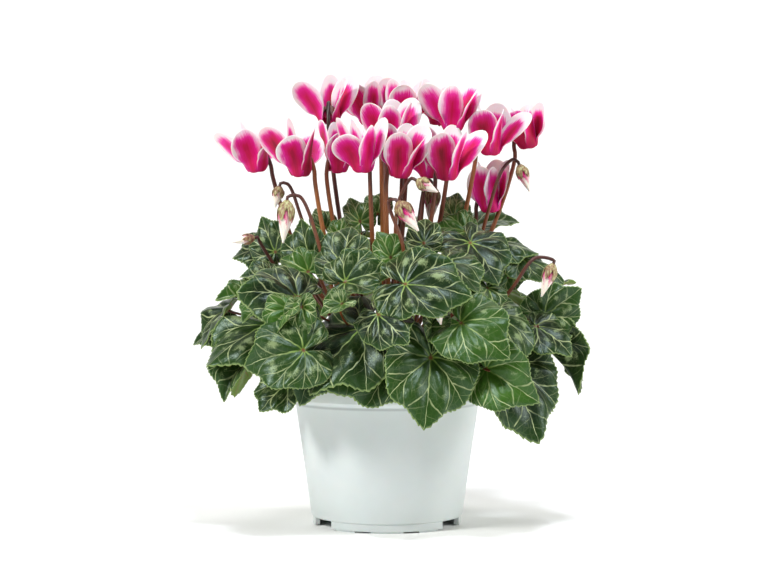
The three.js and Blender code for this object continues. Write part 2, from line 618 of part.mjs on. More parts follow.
const MOVES = choices(
  {
    push: [0, 3, -3, 6, -6, 9, -9, 13, -13, 18, 24, 30], pitch: [0, 7, -7, 14, -14],
    roll: [0, 9, -9, 18, -18, 27, -27], size: [1, 0.9, 0.75],
  },
  ({ push, pitch, roll, size }) =>
    Math.abs(push) / 3 + Math.abs(pitch) / 7 + Math.abs(roll) / 9 + 20 * (1 - size));
const SHIFTS = [0, 3, -3, 6, -6, 9, -9, 12, -12, 16, -16, 20, -20];
const BENDS = choices(
  {
    bow: [0, 6, -6, 12, -12, 18, 24, -18, 30], sway: [0, 5, -5, 10, -10, 16, -16, 24, -24, 32, -32],
    swing: [0, 6, -6, 14, -14], reach: [0.25, 0.12, 0.4],
  },
  ({ bow, sway, swing, reach }) =>
    Math.abs(bow) / 6 + Math.abs(sway) / 5 + Math.abs(swing) / 5 + 10 * Math.abs(reach - 0.25));
const BLOOM_MOVES = choices(
  { push: [0, 4, -4, 8, -8, 12, -12, 17, -17, 22, -22, 28, 34], turn: [0, 12, -12, 24, -24, 40, -40] },
  ({ push, turn }) => Math.abs(push) / 4 + Math.abs(turn) / 12);

// Build
const group = new THREE.Group();

function add(name, solid, { color, roughness }) {
  const mesh = solid.simplify(SMOOTHING).getMesh();
  const geometry = new THREE.BufferGeometry();
  geometry.setAttribute("position", new THREE.BufferAttribute(mesh.vertProperties, 3));
  geometry.setIndex(new THREE.BufferAttribute(mesh.triVerts, 1));
  geometry.computeVertexNormals();
  const material = new THREE.MeshStandardMaterial({ color, roughness, metalness: 0, flatShading: true });
  const node = new THREE.Mesh(geometry, material);
  node.name = name;
  group.add(node);
}

const POT_PLASTIC = { color: 0xcdd5d2, roughness: 0.45 };
const COMPOST = { color: 0x3a2a1e, roughness: 0.95 };
const STALK_SKIN = { color: 0x6b3a26, roughness: 0.5 };
const PETAL_SKIN = { color: 0xcf1464, roughness: 0.55 };
const BUD_SKIN = { color: 0xd9c2b4, roughness: 0.55 };
const LEAF_SKIN = { color: 0x2f5a38, roughness: 0.5 };

const pot = makePot();
const soil = makeSoil();
place(pot);
place(soil);

setRoots([...BLOOMS, ...BUDS]);
const stalks = [];
BUDS.forEach((bud, i) => {
  const solid = makeBud(bud);
  add(`bud_${i + 1}`, solid, BUD_SKIN);
  place(solid);
  stalks.push(boxed(makeBudStalk(bud)));
});

BLOOMS.forEach((bloom, i) => {
  const fits = (move) => {
    const solid = makeBloom(bloom, move);
    const stalk = makeStalk(bloom, move);
    return isClear(solid, [...placed, ...stalks, boxed(stalk)]) && isClear(stalk);
  };
  const name = `bloom_${i + 1}`;
  const move = firstOf(BLOOM_MOVES, fits, name);
  const solid = makeBloom(bloom, move);
  add(name, solid, PETAL_SKIN);
  place(solid);
  stalks.push(boxed(makeStalk(bloom, move)));
});
placed.push(...stalks);

// Turns neighbours round the crown until they are at least an angle apart.
function setApart(ringGroups, least) {
  for (let round = 0; round < RING_ROUNDS; round++) {
    ringGroups.forEach((one, i) => {
      const next = ringGroups[(i + 1) % ringGroups.length];
      const turn = (next.angle - one.angle + 4 * Math.PI) % (2 * Math.PI);
      if (turn < least || turn > 2 * Math.PI - least) {
        const short = turn < least ? least - turn : least + 2 * Math.PI - turn;
        one.angle -= short / 2;
        next.angle += short / 2;
      }
    });
  }
}

// Leaves of one tier, taken in order round the plant, share a node two by two, and a node's leaves
// grow from one stub on the crown.
function leafGroups() {
  const steepness = ({ at }) => Math.atan2(at[2] - 95, Math.hypot(at[0], at[1])) / RAD;
  const heading = ({ at }) => Math.atan2(at[1], at[0]);
  const groups = [];
  TIERS.forEach(({ from, ring: radius }, tier) => {
    const above = tier ? TIERS[tier - 1].from : 90;
    const members = leaves.filter((leaf) => steepness(leaf) >= from && steepness(leaf) < above);
    members.sort((a, b) => heading(a) - heading(b));
    const count = Math.floor(members.length / 2);
    const tierGroups = Array.from({ length: count }, (_, i) => {
      const last = i === count - 1 ? members.length : 2 * i + 2;
      const own = members.slice(2 * i, last);
      const middle = own.reduce((sum, leaf) => sum.add(V(...leaf.at).setZ(0)), V(0, 0, 0));
      return { angle: Math.atan2(middle.y, middle.x), radius, members: own };
    });
    setApart(tierGroups, STUB_SPACING / radius);
    groups.push(...tierGroups);
  });
  return groups;
}

const groups = leafGroups();
for (const leafGroup of groups) {
  const shift = firstOf(SHIFTS, (one) => isClear(makeStub(leafGroup, one)), "a stub");
  const { base, axis } = stubPlace(leafGroup, shift);
  leafGroup.foot = base.addScaledVector(axis, STUB_HEIGHT / 2);
  leafGroup.stub = makeStub(leafGroup, shift);
  leafGroup.members.forEach((leaf) => {
    leaf.foot = leafGroup.foot;
  });
  place(leafGroup.stub, leafGroup.foot);
}

for (const leaf of leaves) {
  const fits = (one) => isClear(makeBlade(leaf, leafFrame(leaf, one), CLEARANCE));
  leaf.frame = leafFrame(leaf, firstOf(MOVES, fits, "a blade"));
  leaf.blade = makeBlade(leaf, leaf.frame, 0);
  place(leaf.blade, leaf);
}

for (const leaf of leaves) {
  const others = placed.filter(({ owner }) => !owner || (owner !== leaf && owner !== leaf.foot));
  const fits = (one) => isClear(makeLeafStalk(leaf, one, STALK_CLEARANCE), others);
  leaf.stalk = makeLeafStalk(leaf, firstOf(BENDS, fits, "a leaf stalk"), 0);
  place(leaf.stalk, leaf.foot);
}

groups.forEach(({ members, stub }, i) => {
  const solid = join([stub, ...members.flatMap(({ blade, stalk }) => [blade, stalk])]);
  add(`leaves_${i + 1}`, solid, LEAF_SKIN);
});

add("pot", pot, POT_PLASTIC);
add("soil", soil, COMPOST);
add("tuber_and_flower_stalks", join([tuberBody(0), ...stalks.map(({ solid }) => solid)]), STALK_SKIN);

export default group;
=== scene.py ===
# Potted cyclamen: a Persian cyclamen in flower, in its round plastic grower's pot.
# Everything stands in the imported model's frame. Lengths are in millimetres until a mesh is made.
import itertools
import json
import math
import bpy
import numpy as np
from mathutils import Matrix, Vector
from mathutils.kdtree import KDTree

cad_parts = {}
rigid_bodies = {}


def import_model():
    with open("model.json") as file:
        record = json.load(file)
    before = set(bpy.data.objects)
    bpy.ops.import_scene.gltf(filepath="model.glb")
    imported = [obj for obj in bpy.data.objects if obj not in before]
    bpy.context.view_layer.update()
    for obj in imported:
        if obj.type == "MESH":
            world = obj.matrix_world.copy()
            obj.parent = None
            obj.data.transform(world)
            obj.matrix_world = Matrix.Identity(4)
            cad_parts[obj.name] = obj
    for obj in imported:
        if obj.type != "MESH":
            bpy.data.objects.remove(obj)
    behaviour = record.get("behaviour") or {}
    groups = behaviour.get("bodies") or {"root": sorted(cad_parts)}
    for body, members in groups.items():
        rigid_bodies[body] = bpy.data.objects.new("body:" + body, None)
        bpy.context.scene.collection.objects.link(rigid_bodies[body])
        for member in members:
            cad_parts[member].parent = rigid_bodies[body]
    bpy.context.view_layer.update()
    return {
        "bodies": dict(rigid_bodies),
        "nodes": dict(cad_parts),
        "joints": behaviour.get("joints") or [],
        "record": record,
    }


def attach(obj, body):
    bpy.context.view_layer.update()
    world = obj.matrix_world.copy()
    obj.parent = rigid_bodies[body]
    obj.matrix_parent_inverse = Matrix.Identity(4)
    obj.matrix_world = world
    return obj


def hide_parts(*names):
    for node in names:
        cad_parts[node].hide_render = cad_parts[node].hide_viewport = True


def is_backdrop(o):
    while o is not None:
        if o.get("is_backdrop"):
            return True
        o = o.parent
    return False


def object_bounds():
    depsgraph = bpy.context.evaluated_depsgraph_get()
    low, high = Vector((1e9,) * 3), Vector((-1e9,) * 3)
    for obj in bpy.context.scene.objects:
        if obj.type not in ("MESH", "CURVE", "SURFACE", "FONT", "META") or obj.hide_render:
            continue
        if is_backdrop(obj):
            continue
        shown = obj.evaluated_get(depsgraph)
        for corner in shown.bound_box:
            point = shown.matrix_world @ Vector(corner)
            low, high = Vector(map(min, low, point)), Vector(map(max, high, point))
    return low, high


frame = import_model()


MM = 0.001
POT_HEIGHT = 102
POT_SIDES = 160
RIM_RADIUS = 65
BAND_RADIUS = 64.3
BAND_BOTTOM = 80
NECK_RADIUS = 59.2
BASE_RADIUS = 48.6
WALL = 1.6
FLOOR_BOTTOM = 5.5
FLOOR_TOP = 7.3
FOOT_OUTER = 47.8
FOOT_INNER = 44.8
FOOT_COUNT = 3
FOOT_ARC = 94  # degrees
PAD_HEIGHT = 1
PAD_INSET = 0.5
PADS = [(-42, -25), (-12.6, 12.6), (25, 42)]
DRAIN_COUNT = 5
DRAIN_RADIUS = 4
DRAIN_RING = 30
DRAIN_SIDES = 32
OVERLAP = 0.5  # how far feet and pads reach into what they stand under
ARC_STEP = 2  # degrees between corners along a foot
SHARP_EDGE = 35  # degrees
BAND_SHADE = (BAND_BOTTOM - 2.2, 1.4)  # height and half width of the darker line painted as shade in the crease under the band


def linear(text):
    """An sRGB hex colour as linear red, green, blue and alpha."""
    parts = [int(text[i:i + 2], 16) / 255 for i in (1, 3, 5)]
    return [*(c / 12.92 if c <= 0.04045 else ((c + 0.055) / 1.055) ** 2.4 for c in parts), 1.0]


def fill(tree, socket, value):
    """Links a socket to an output, or sets it to a number, a vector or an sRGB hex colour."""
    if isinstance(value, bpy.types.NodeSocket):
        tree.links.new(value, socket)
    else:
        socket.default_value = linear(value) if str(value).startswith("#") else value


def add(tree, kind, *values, out=None, stops=None, **named):
    """Adds a node and gives one of its outputs, the first unless it is named. Values go to its sockets in
    order, or by name where that has a capital letter. The other names are its settings, and stops are
    the places and colours of a ramp."""
    made = tree.nodes.new(kind if "Node" in kind else tree.bl_idname.replace("Tree", "") + kind)
    for name, value in named.items():
        if name.islower():
            setattr(made, name, value)
    if stops:
        elements = made.color_ramp.elements
        for _ in range(len(stops) - 2):
            elements.new(0.5)
        for element, (position, colour) in zip(elements, stops.items()):
            element.position = position
            element.color = linear(colour)
    for socket, value in zip([socket for socket in made.inputs if socket.enabled], values):
        fill(tree, socket, value)
    for name, value in named.items():
        if not name.islower():
            fill(tree, made.inputs[name.replace("_", " ")], value)
    return made.outputs[out] if out else next(socket for socket in made.outputs if socket.enabled)


def dress(material, **sockets):
    """Sets or links sockets of a material's shader."""
    tree = material.node_tree
    for name, value in sockets.items():
        fill(tree, tree.nodes["Principled BSDF"].inputs[name.replace("_", " ")], value)


def new_material(name, **constants):
    """A material and its node tree, with constants set on its shader's own sockets."""
    material = bpy.data.materials.new(name)
    material.use_nodes = True
    dress(material, **constants)
    return material, material.node_tree


def new_mesh(name, points, triangles, uv=None, **values):
    """A smooth mesh from points in millimetres, with a flat place and named values for each point."""
    mesh = bpy.data.meshes.new(name)
    mesh.from_pydata((np.asarray(points) * MM).tolist(), [], np.asarray(triangles).tolist())
    if uv is not None:
        corners = np.empty(len(mesh.loops), dtype=np.int32)
        mesh.loops.foreach_get("vertex_index", corners)
        mesh.uv_layers.new(name="flat").data.foreach_set("uv", np.asarray(uv)[corners].ravel())
    for key, value in values.items():
        mesh.attributes.new(key, "FLOAT", "POINT").data.foreach_set("value", np.ravel(value))
    mesh.shade_smooth()
    return mesh


def new_piece(name, mesh, slot, nodes, *materials):
    """A piece that rides with the part and stands for its nodes."""
    mesh.materials.clear()
    for material in materials:
        mesh.materials.append(material)
    piece = bpy.data.objects.new(name, mesh)
    bpy.context.scene.collection.objects.link(piece)
    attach(piece, "root")
    if nodes:
        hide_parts(*nodes)
    return piece


def evaluated(item):
    """An object's mesh as its modifiers leave it."""
    return bpy.data.meshes.new_from_object(item.evaluated_get(bpy.context.evaluated_depsgraph_get()))


def rounded(corners, steps=5):
    """A profile from corners of (radius, height, rounding), each rounded off over that length."""
    places = [np.array(corner[:2], dtype=float) for corner in corners]
    profile = []
    for i, corner in enumerate(corners):
        if len(corner) < 3:
            profile.append(places[i])
            continue
        before, after = (places[j] - places[i] for j in (i - 1, i + 1))
        start = places[i] + before / np.linalg.norm(before) * corner[2]
        end = places[i] + after / np.linalg.norm(after) * corner[2]
        for t in np.linspace(0, 1, steps):
            profile.append((1 - t) ** 2 * start + 2 * t * (1 - t) * places[i] + t ** 2 * end)
    return profile


def spun(profile, sides):
    """Points and triangles of a round solid, from a profile of (radius, height) that meets the axis."""
    turn = np.linspace(0, 2 * np.pi, sides, endpoint=False)
    rings = [np.stack([r * np.cos(turn), r * np.sin(turn), np.full(sides, z)], 1) for r, z in profile[1:-1]]
    points = np.concatenate([[[0, 0, profile[0][1]]], *rings, [[0, 0, profile[-1][1]]]])
    i = np.arange(sides)
    k = (i + 1) % sides
    triangles = [np.stack([np.zeros(sides, int), 1 + k, 1 + i], 1)]
    for low in range(1, 1 + (len(rings) - 1) * sides, sides):
        high = low + sides
        triangles += [np.stack([low + i, low + k, high + k], 1), np.stack([low + i, high + k, high + i], 1)]
    last = len(points) - 1 - sides
    triangles.append(np.stack([last + i, last + k, np.full(sides, len(points) - 1)], 1))
    return points, np.concatenate(triangles)


def arc_block(inner, outer, start, end, bottom, top):
    """A block between two radii, two angles in degrees and two heights."""
    turn = np.radians(np.linspace(start, end, int((end - start) / ARC_STEP)))
    section = [(inner, bottom), (outer, bottom), (outer, top), (inner, top)]
    points = np.array([(r * math.cos(a), r * math.sin(a), z) for a in turn for r, z in section])
    triangles = [(0, 1, 2), (0, 2, 3)]
    last = 4 * len(turn) - 4
    for i in range(0, last, 4):
        for j in range(4):
            k = (j + 1) % 4
            triangles += [(i + j, i + 4 + k, i + k), (i + j, i + 4 + j, i + 4 + k)]
    triangles += [(last, last + 2, last + 1), (last, last + 3, last + 2)]
    return points, np.array(triangles)


def stacked(solids):
    """Several solids' points and triangles as one list of each."""
    starts = np.cumsum([0] + [len(points) for points, _ in solids])
    points = np.concatenate([points for points, _ in solids])
    return points, np.concatenate([triangles + start for (_, triangles), start in zip(solids, starts)])


def combined(mesh, operation, solids):
    """A mesh with solids joined to it or cut away."""
    body = bpy.data.objects.new("body", mesh)
    tool = bpy.data.objects.new("tool", new_mesh("tool", *stacked(solids)))
    for item in (body, tool):
        bpy.context.scene.collection.objects.link(item)
    change = body.modifiers.new("change", "BOOLEAN")
    change.operation = operation
    change.solver = "EXACT"
    change.object = tool
    result = evaluated(body)
    for item in (body, tool):
        bpy.data.objects.remove(item)
    return result


pot_profile = rounded([
    (0, FLOOR_BOTTOM), (BASE_RADIUS, FLOOR_BOTTOM, 1.2), (NECK_RADIUS, BAND_BOTTOM - 1, 0.4),
    (BAND_RADIUS, BAND_BOTTOM + 1, 0.7), (RIM_RADIUS, POT_HEIGHT, 0.7),
    (RIM_RADIUS - WALL, POT_HEIGHT, 0.6), (BAND_RADIUS - WALL, BAND_BOTTOM + 3, 0.8),
    (NECK_RADIUS - WALL, BAND_BOTTOM, 0.8), (BASE_RADIUS - WALL, FLOOR_TOP, 1.4), (0, FLOOR_TOP),
])
feet = []
pads = []
for foot in range(FOOT_COUNT):
    middle = -90 + foot * 360 / FOOT_COUNT
    feet.append(arc_block(FOOT_INNER, FOOT_OUTER, middle - FOOT_ARC / 2, middle + FOOT_ARC / 2,
                          PAD_HEIGHT, FLOOR_BOTTOM + OVERLAP))
    for start, end in PADS:
        pads.append(arc_block(FOOT_INNER + PAD_INSET, FOOT_OUTER - PAD_INSET, middle + start, middle + end,
                              0, PAD_HEIGHT + OVERLAP))
drains = []
for hole in range(DRAIN_COUNT):
    turn = 2 * math.pi * hole / DRAIN_COUNT
    points, triangles = spun([(0, 0), (DRAIN_RADIUS, 0), (DRAIN_RADIUS, 12), (0, 12)], DRAIN_SIDES)
    drains.append((points + [DRAIN_RING * math.cos(turn), DRAIN_RING * math.sin(turn), 0], triangles))

# Polypropylene, moulded with a fine spark-eroded grain: a cool white with a soft, wide highlight. The grain
# of about 0.4 mm is drawn at 0.8 mm, so that it shows. Handling leaves the gloss a little uneven, and a
# darker grey line is painted in the crease under the band as shade.
polypropylene, tree = new_material(
    "moulded polypropylene", IOR=1.49, Subsurface_Weight=0.08, Subsurface_Scale=0.002)
place = add(tree, "TexCoord", out="Object")
cloud = add(tree, "TexNoise", place, Scale=35.0, Detail=3.0)
grain = add(tree, "TexNoise", place, Scale=1250.0, Detail=2.0)
white = add(tree, "Mix", cloud, "#C9D1CF", "#D6DCDA", data_type="RGBA")
# Painted shade: a thin band round the pot, just under the band's bottom edge, is drawn darker grey.
crease_shade = add(tree, "SeparateXYZ", place, out="Z")
crease_shade = add(tree, "Math", crease_shade, BAND_SHADE[0] * MM, operation="SUBTRACT")
crease_shade = add(tree, "Math", crease_shade, operation="ABSOLUTE")
crease_shade = add(tree, "MapRange", crease_shade, From_Max=BAND_SHADE[1] * MM, To_Min=0.42, To_Max=0.0,
           interpolation_type="SMOOTHSTEP")
dress(polypropylene, Base_Color=add(tree, "Mix", crease_shade, white, "#6A716F", data_type="RGBA"),
      Roughness=add(tree, "MapRange", cloud, To_Min=0.36, To_Max=0.5),
      Normal=add(tree, "Bump", Height=grain, Strength=0.12, Distance=0.0002))

pot_mesh = new_mesh("pot", *spun(pot_profile, POT_SIDES))
for operation, solids in (("UNION", feet), ("UNION", pads), ("DIFFERENCE", drains)):
    pot_mesh = combined(pot_mesh, operation, solids)
pot_mesh.set_sharp_from_angle(angle=math.radians(SHARP_EDGE))
new_piece("pot_moulding", pot_mesh, "pot_plastic", ["pot"], polypropylene)


# Compost: damp peat, dark brown and crumbly, with pale fibres, filled to below the rim and level but for
# the crumbs. The tuber sits in a hollow in it. Crumbs and fibres lie scattered over it.
GAP = 0.3
SOIL_TOP = 88
TUBER_RADIUS = 24
TUBER_HALF_HEIGHT = 13
TUBER_MIDDLE = 84
SOIL_SIDES = 120
SOIL_RELIEF = 0.5
SOIL_WAVES = dict(count=24, shortest=6, seed=3)
TUBER_INSET = 0.25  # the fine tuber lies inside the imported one, which has fewer corners
TUBER_RELIEF = 0.008


def waves(x, y, count, shortest, seed):
    """A smooth uneven height, from waves in random directions down to a shortest length."""
    rng = np.random.default_rng(seed)
    total = np.zeros_like(x)
    for _ in range(count):
        way, start = rng.uniform(0, 2 * np.pi, 2)
        rate = 2 * np.pi / (shortest * rng.uniform(1, 4))
        total += np.sin((x * math.cos(way) + y * math.sin(way)) * rate + start)
    return total / math.sqrt(count)


def ellipsoid_profile(extra, start, end, steps):
    """Half of the tuber's outline, between two angles from its lowest point in degrees."""
    turn = np.radians(np.linspace(start, end, steps))
    return [((TUBER_RADIUS + extra) * math.sin(a), TUBER_MIDDLE - (TUBER_HALF_HEIGHT + extra) * math.cos(a))
            for a in turn]


# Peat: nearly black where it is wet, with a dull brown bloom on the crumbs that have dried. No gloss.
peat, tree = new_material("damp peat compost", Roughness=0.95)
place = add(tree, "TexCoord", out="Object")
patch = add(tree, "TexNoise", place, Scale=140.0, Detail=4.0)
patch = add(tree, "MapRange", patch, From_Min=0.35, From_Max=0.65)
crumb = add(tree, "TexVoronoi", place, Scale=620.0)
dress(peat, Base_Color=add(tree, "Mix", patch, "#1C130D", "#4A3424", data_type="RGBA"),
      Normal=add(tree, "Bump", Height=crumb, Strength=0.6, Distance=0.0006))

FILL = BAND_RADIUS - WALL - GAP
soil_points, soil_triangles = spun([
    (0, FLOOR_TOP + GAP), (BASE_RADIUS - WALL - GAP, FLOOR_TOP + GAP),
    (NECK_RADIUS - WALL - GAP, BAND_BOTTOM),
    (FILL, BAND_BOTTOM + 3 + GAP), (FILL, SOIL_TOP - 0.8),
    *((r, SOIL_TOP) for r in np.linspace(FILL - 0.6, TUBER_RADIUS + 1, 24)),
    *ellipsoid_profile(GAP, 104, 0, 12),
], SOIL_SIDES)
x, y, z = soil_points.T
top = z > SOIL_TOP - 0.1
soil_points[top, 2] += SOIL_RELIEF * waves(x[top], y[top], **SOIL_WAVES)
new_piece("compost_fill", new_mesh("compost", soil_points, soil_triangles), "compost", ["soil"], peat)


def new_tree(name, **kinds):
    """A Geometry Nodes tree that works on a base, and its inputs, which are named with their kinds."""
    tree = bpy.data.node_groups.new(name, "GeometryNodeTree")
    for socket, kind in {"Base": "Geometry", **kinds}.items():
        tree.interface.new_socket(socket, in_out="INPUT", socket_type="NodeSocket" + kind)
    tree.interface.new_socket("Result", in_out="OUTPUT", socket_type="NodeSocketGeometry")
    return tree, tree.nodes.new("NodeGroupInput").outputs


def end_tree(tree, geometry, material):
    """Ends a tree with its instances made real and their material set."""
    real = add(tree, "RealizeInstances", geometry)
    done = add(tree, "SetMaterial", Geometry=real, Material=material)
    tree.links.new(done, tree.nodes.new("NodeGroupOutput").inputs["Result"])


def grown(base_mesh, tree, **given):
    """The plain mesh that a tree makes from a base."""
    base = bpy.data.objects.new("base", base_mesh)
    bpy.context.scene.collection.objects.link(base)
    change = base.modifiers.new("grow", "NODES")
    change.node_group = tree
    sockets = {item.name: item.identifier for item in tree.interface.items_tree if item.in_out == "INPUT"}
    for socket, value in given.items():
        change[sockets[socket]] = value
    result = evaluated(base)
    bpy.data.objects.remove(base)
    return result


# Geometry Nodes that scatter small stones over a base, each turned and stretched at random.
LEAN = 0.4  # radians
SOIL_RINGS = 20
scatter, inputs = new_tree("scatter", Density="Float", Smallest="Vector", Largest="Vector", Seed="Int",
                           Skin="Material")
points = add(scatter, "DistributePointsOnFaces", inputs["Base"], Density=inputs["Density"],
             Seed=inputs["Seed"])
lean = add(scatter, "FunctionNodeRandomValue", (-LEAN, -LEAN, -math.pi), (LEAN, LEAN, math.pi),
           Seed=inputs["Seed"], data_type="FLOAT_VECTOR")
size = add(scatter, "FunctionNodeRandomValue", inputs["Smallest"], inputs["Largest"],
           Seed=inputs["Seed"], data_type="FLOAT_VECTOR")
stone = add(scatter, "MeshIcoSphere", Radius=MM, Subdivisions=1)
stones = add(scatter, "InstanceOnPoints", points, Instance=stone, Rotation=lean, Scale=size)
end_tree(scatter, stones, inputs["Skin"])


def soil_ground():
    """The compost's top as a ring round the tuber."""
    turn = np.linspace(0, 2 * np.pi, SOIL_SIDES, endpoint=False)
    away = np.linspace(TUBER_RADIUS + 1, FILL - 1.5, SOIL_RINGS)
    x, y = (np.outer(away, f(turn)).ravel() for f in (np.cos, np.sin))
    points = np.stack([x, y, SOIL_TOP + SOIL_RELIEF * waves(x, y, **SOIL_WAVES)], 1)
    i = np.arange(SOIL_SIDES)
    k = (i + 1) % SOIL_SIDES
    starts = range(0, (SOIL_RINGS - 1) * SOIL_SIDES, SOIL_SIDES)
    rows = [np.stack([a + i, a + SOIL_SIDES + i, a + SOIL_SIDES + k, a + k], 1) for a in starts]
    return new_mesh("ground", points, np.concatenate(rows))


crumbs = grown(soil_ground(), scatter, Density=170000.0, Smallest=(0.4, 0.4, 0.3),
               Largest=(1.7, 1.4, 1.1), Seed=5, Skin=peat)
new_piece("compost_crumbs", crumbs, "compost", ["soil"], peat)

# Peat fibre: straw-coloured threads of moss and bark in the compost, 3 to 8 mm long.
fibre, _ = new_material("peat fibre", Roughness=0.9, Base_Color="#7A5B38")
fibres = grown(soil_ground(), scatter, Density=18000.0, Smallest=(1.5, 0.12, 0.12),
               Largest=(4.0, 0.25, 0.2), Seed=9, Skin=fibre)
new_piece("compost_fibres", fibres, "compost", [], fibre)


# Tuber: a flattened corky ball, half sunk in the compost, whose crown carries all the stalks. It grew
# with them as one body. Its bark is grey-brown, dry and finely cracked.
cork, tree = new_material("tuber cork", Roughness=0.9)
place = add(tree, "TexCoord", out="Object")
patch = add(tree, "TexNoise", place, Scale=160.0, Detail=5.0)
crack = add(tree, "TexVoronoi", place, Scale=380.0, feature="DISTANCE_TO_EDGE")
dress(cork, Base_Color=add(tree, "Mix", patch, "#33231A", "#6B503B", data_type="RGBA"),
      Normal=add(tree, "Bump", Height=crack, Strength=0.5, Distance=0.0005))

tuber_points, tuber_triangles = spun(ellipsoid_profile(-TUBER_INSET, 0, 180, 40), 96)
x, y, z = tuber_points.T
bumps = TUBER_RELIEF * waves(x + z, y - z, count=30, shortest=4, seed=11)[:, None]
tuber_points += bumps * (tuber_points - [0, 0, TUBER_MIDDLE])
tuber_mesh = new_mesh("tuber", tuber_points, tuber_triangles)
new_piece("tuber", tuber_mesh, "stalk", ["tuber_and_flower_stalks"], cork)


# Flower stalks: round, juicy stems that rise from the crown side by side, bow outwards and hook over at
# the top, so that each flower nods. Brick brown to ochre below, and dark maroon towards the calyx.
CROWN_RADIUS = 10.2
CROWN_SPACING = 3.3  # between the feet of two flower stalks
CROWN_SHARE = 0.16  # how far out a stalk stands, as a share of how far out its flower is
CROWN_ROUNDS = 80  # of moving the feet apart
CROWN_RISE = 14  # how far a stalk rises straight up from its foot
ROOT_DEPTH = 1.5
STALK_BOW = 0.12  # how far its middle bows out, as a share of how far out its hook is
STALK_RADIUS = 1.45
STALK_SIDE = 9
STALK_TAPER = (1.12, 0.92)
STALK_SIDES = 12
STALK_DARKENING = 0.5  # towards the calyx
# Places on the hook: how far to the stalk's side of the flower's axis, and how high over its mouth.
HOOK = [(9.3, -7), (STALK_SIDE, 0), (7.4, 6), (4.6, 10.6), (1.8, 11.6), (0, 9.4)]
PETAL_LENGTH = 32
BUD_STALK_RADIUS = 1.2
BUD_STALK_TAPER = (1.15, 0.9)
BUD_NECK = 2.5
BUD_BASE = 4
VIEWPOINT = np.array([0, -1100, 165])  # the plant was measured from here
UP = np.array([0, 0, 1.0])

# Where the mouth is, how far the axis leans to the side and to the back, which way the stalk stands from
# the axis, in degrees from +X, and how far each petal spreads, in degrees, from the stalk round. Some
# flowers have petals of another length.
BLOOMS = [
    dict(at=(-83, -10, 229), lean=(-0.12, 0), stalk=15, spread=(45, 12, 50, 36, 55)),
    dict(at=(-54, -35, 225), lean=(-0.02, -0.05), stalk=8, spread=(58, 8, 44, 52, 22), length=34),
    dict(at=(-32, 0, 229), lean=(0, 0), stalk=200, spread=(40, 30, 40, 20, 12)),
    dict(at=(-38, 25, 262), lean=(-0.03, 0), stalk=268, spread=(26, 24, 8, 58, 44)),
    dict(at=(-15, -45, 227), lean=(0, -0.05), stalk=62, spread=(24, 22, 62, 16, 16)),
    dict(at=(4, -15, 242), lean=(-0.05, 0), stalk=150, spread=(28, 6, 24, 20, 15)),
    dict(at=(-11, 30, 262), lean=(-0.1, 0), stalk=0, spread=(10, 28, 50, 30, 14)),
    dict(at=(13, 23, 262), lean=(0.05, 0), stalk=80, spread=(24, 12, 22, 38, 26), length=28),
    dict(at=(8, -38, 224), lean=(0.1, -0.05), stalk=170, spread=(12, 24, 34, 12, 16)),
    dict(at=(37, -45, 222), lean=(0, -0.03), stalk=100, spread=(22, 28, 26, 44, 24), length=34),
    dict(at=(42, -10, 255), lean=(0.03, 0), stalk=90, spread=(24, 40, 5, 36, 20)),
    dict(at=(66, -5, 240), lean=(0.03, 0), stalk=178, spread=(26, 18, 50, 8, 14)),
    dict(at=(91, 5, 245), lean=(-0.16, 0), stalk=182, spread=(14, 8, 14, 6, 18), length=27),
    dict(at=(67, 10, 204), lean=(-0.05, 0), stalk=190, spread=(6, 4, 14, 8, 18), length=32),
    dict(at=(28, 15, 226), lean=(0, 0.1), stalk=90, spread=(40, 74, 60, 56, 30)),
    dict(at=(11, 56, 264), lean=(0, 0.05), stalk=270, spread=(26, 24, 20, 14, 14)),
    dict(at=(35, 38, 262), lean=(0.05, 0.15), stalk=0, spread=(6, 10, 8, 6, 18), length=27),
]
# The middle of the calyx, the tip, the top of the stalk's bend, a point lower on it, and the bud's radius.
BUDS = [
    dict(at=(-62, -50, 202), tip=(-64, -52, 180), bend=(-54, -50, 209), low=(-38, -40, 165), radius=4.6),
    dict(at=(-69, -20, 212), tip=(-71, -20, 203), bend=(-63, -20, 218), low=(-54, -15, 195), radius=3.3),
    dict(at=(-88, -25, 183), tip=(-98, -25, 181), bend=(-81, -22, 182), low=(-71, -15, 165), radius=3),
    dict(at=(9, -70, 201), tip=(19, -72, 187), bend=(1, -65, 205), low=(10, -60, 176), radius=4.8),
    dict(at=(22, -60, 216), tip=(31, -60, 211), bend=(14, -55, 219), low=(7, -50, 205), radius=3.6),
    dict(at=(87, 0, 227), tip=(92, 0, 214), bend=(82, 0, 235), low=(75, 0, 229), radius=3.6),
    dict(at=(101, -50, 163), tip=(95, -52, 147), bend=(92, -48, 171), low=(77, -40, 151), radius=3.8),
    dict(at=(30, -88, 142), tip=(32, -88, 131), bend=(27, -84, 148), low=(19, -75, 130), radius=3.8),
    dict(at=(30, 38, 215), tip=(29, 38, 194), bend=(27, 36, 224), low=(20, 28, 190), radius=5),
]
# The modelled flowers were pushed from or to the viewer, and their stalks turned, to keep them apart.
PUSHES = (0, 4, -4, 8, -8, 12, -12, 17, -17, 22, -22, 28, 34)
TURNS = (0, 12, -12, 24, -24, 40, -40)


def unit(vector):
    """A vector, or each of several, at a length of 1."""
    return vector / np.linalg.norm(vector, axis=-1, keepdims=True)


def turned(vector, axis, angle):
    """A vector turned about an axis, by an angle in radians."""
    angle = np.asarray(angle)[..., None]
    along = axis * np.sum(vector * axis, axis=-1, keepdims=True)
    return vector * np.cos(angle) + np.cross(axis, vector) * np.sin(angle) + along * (1 - np.cos(angle))


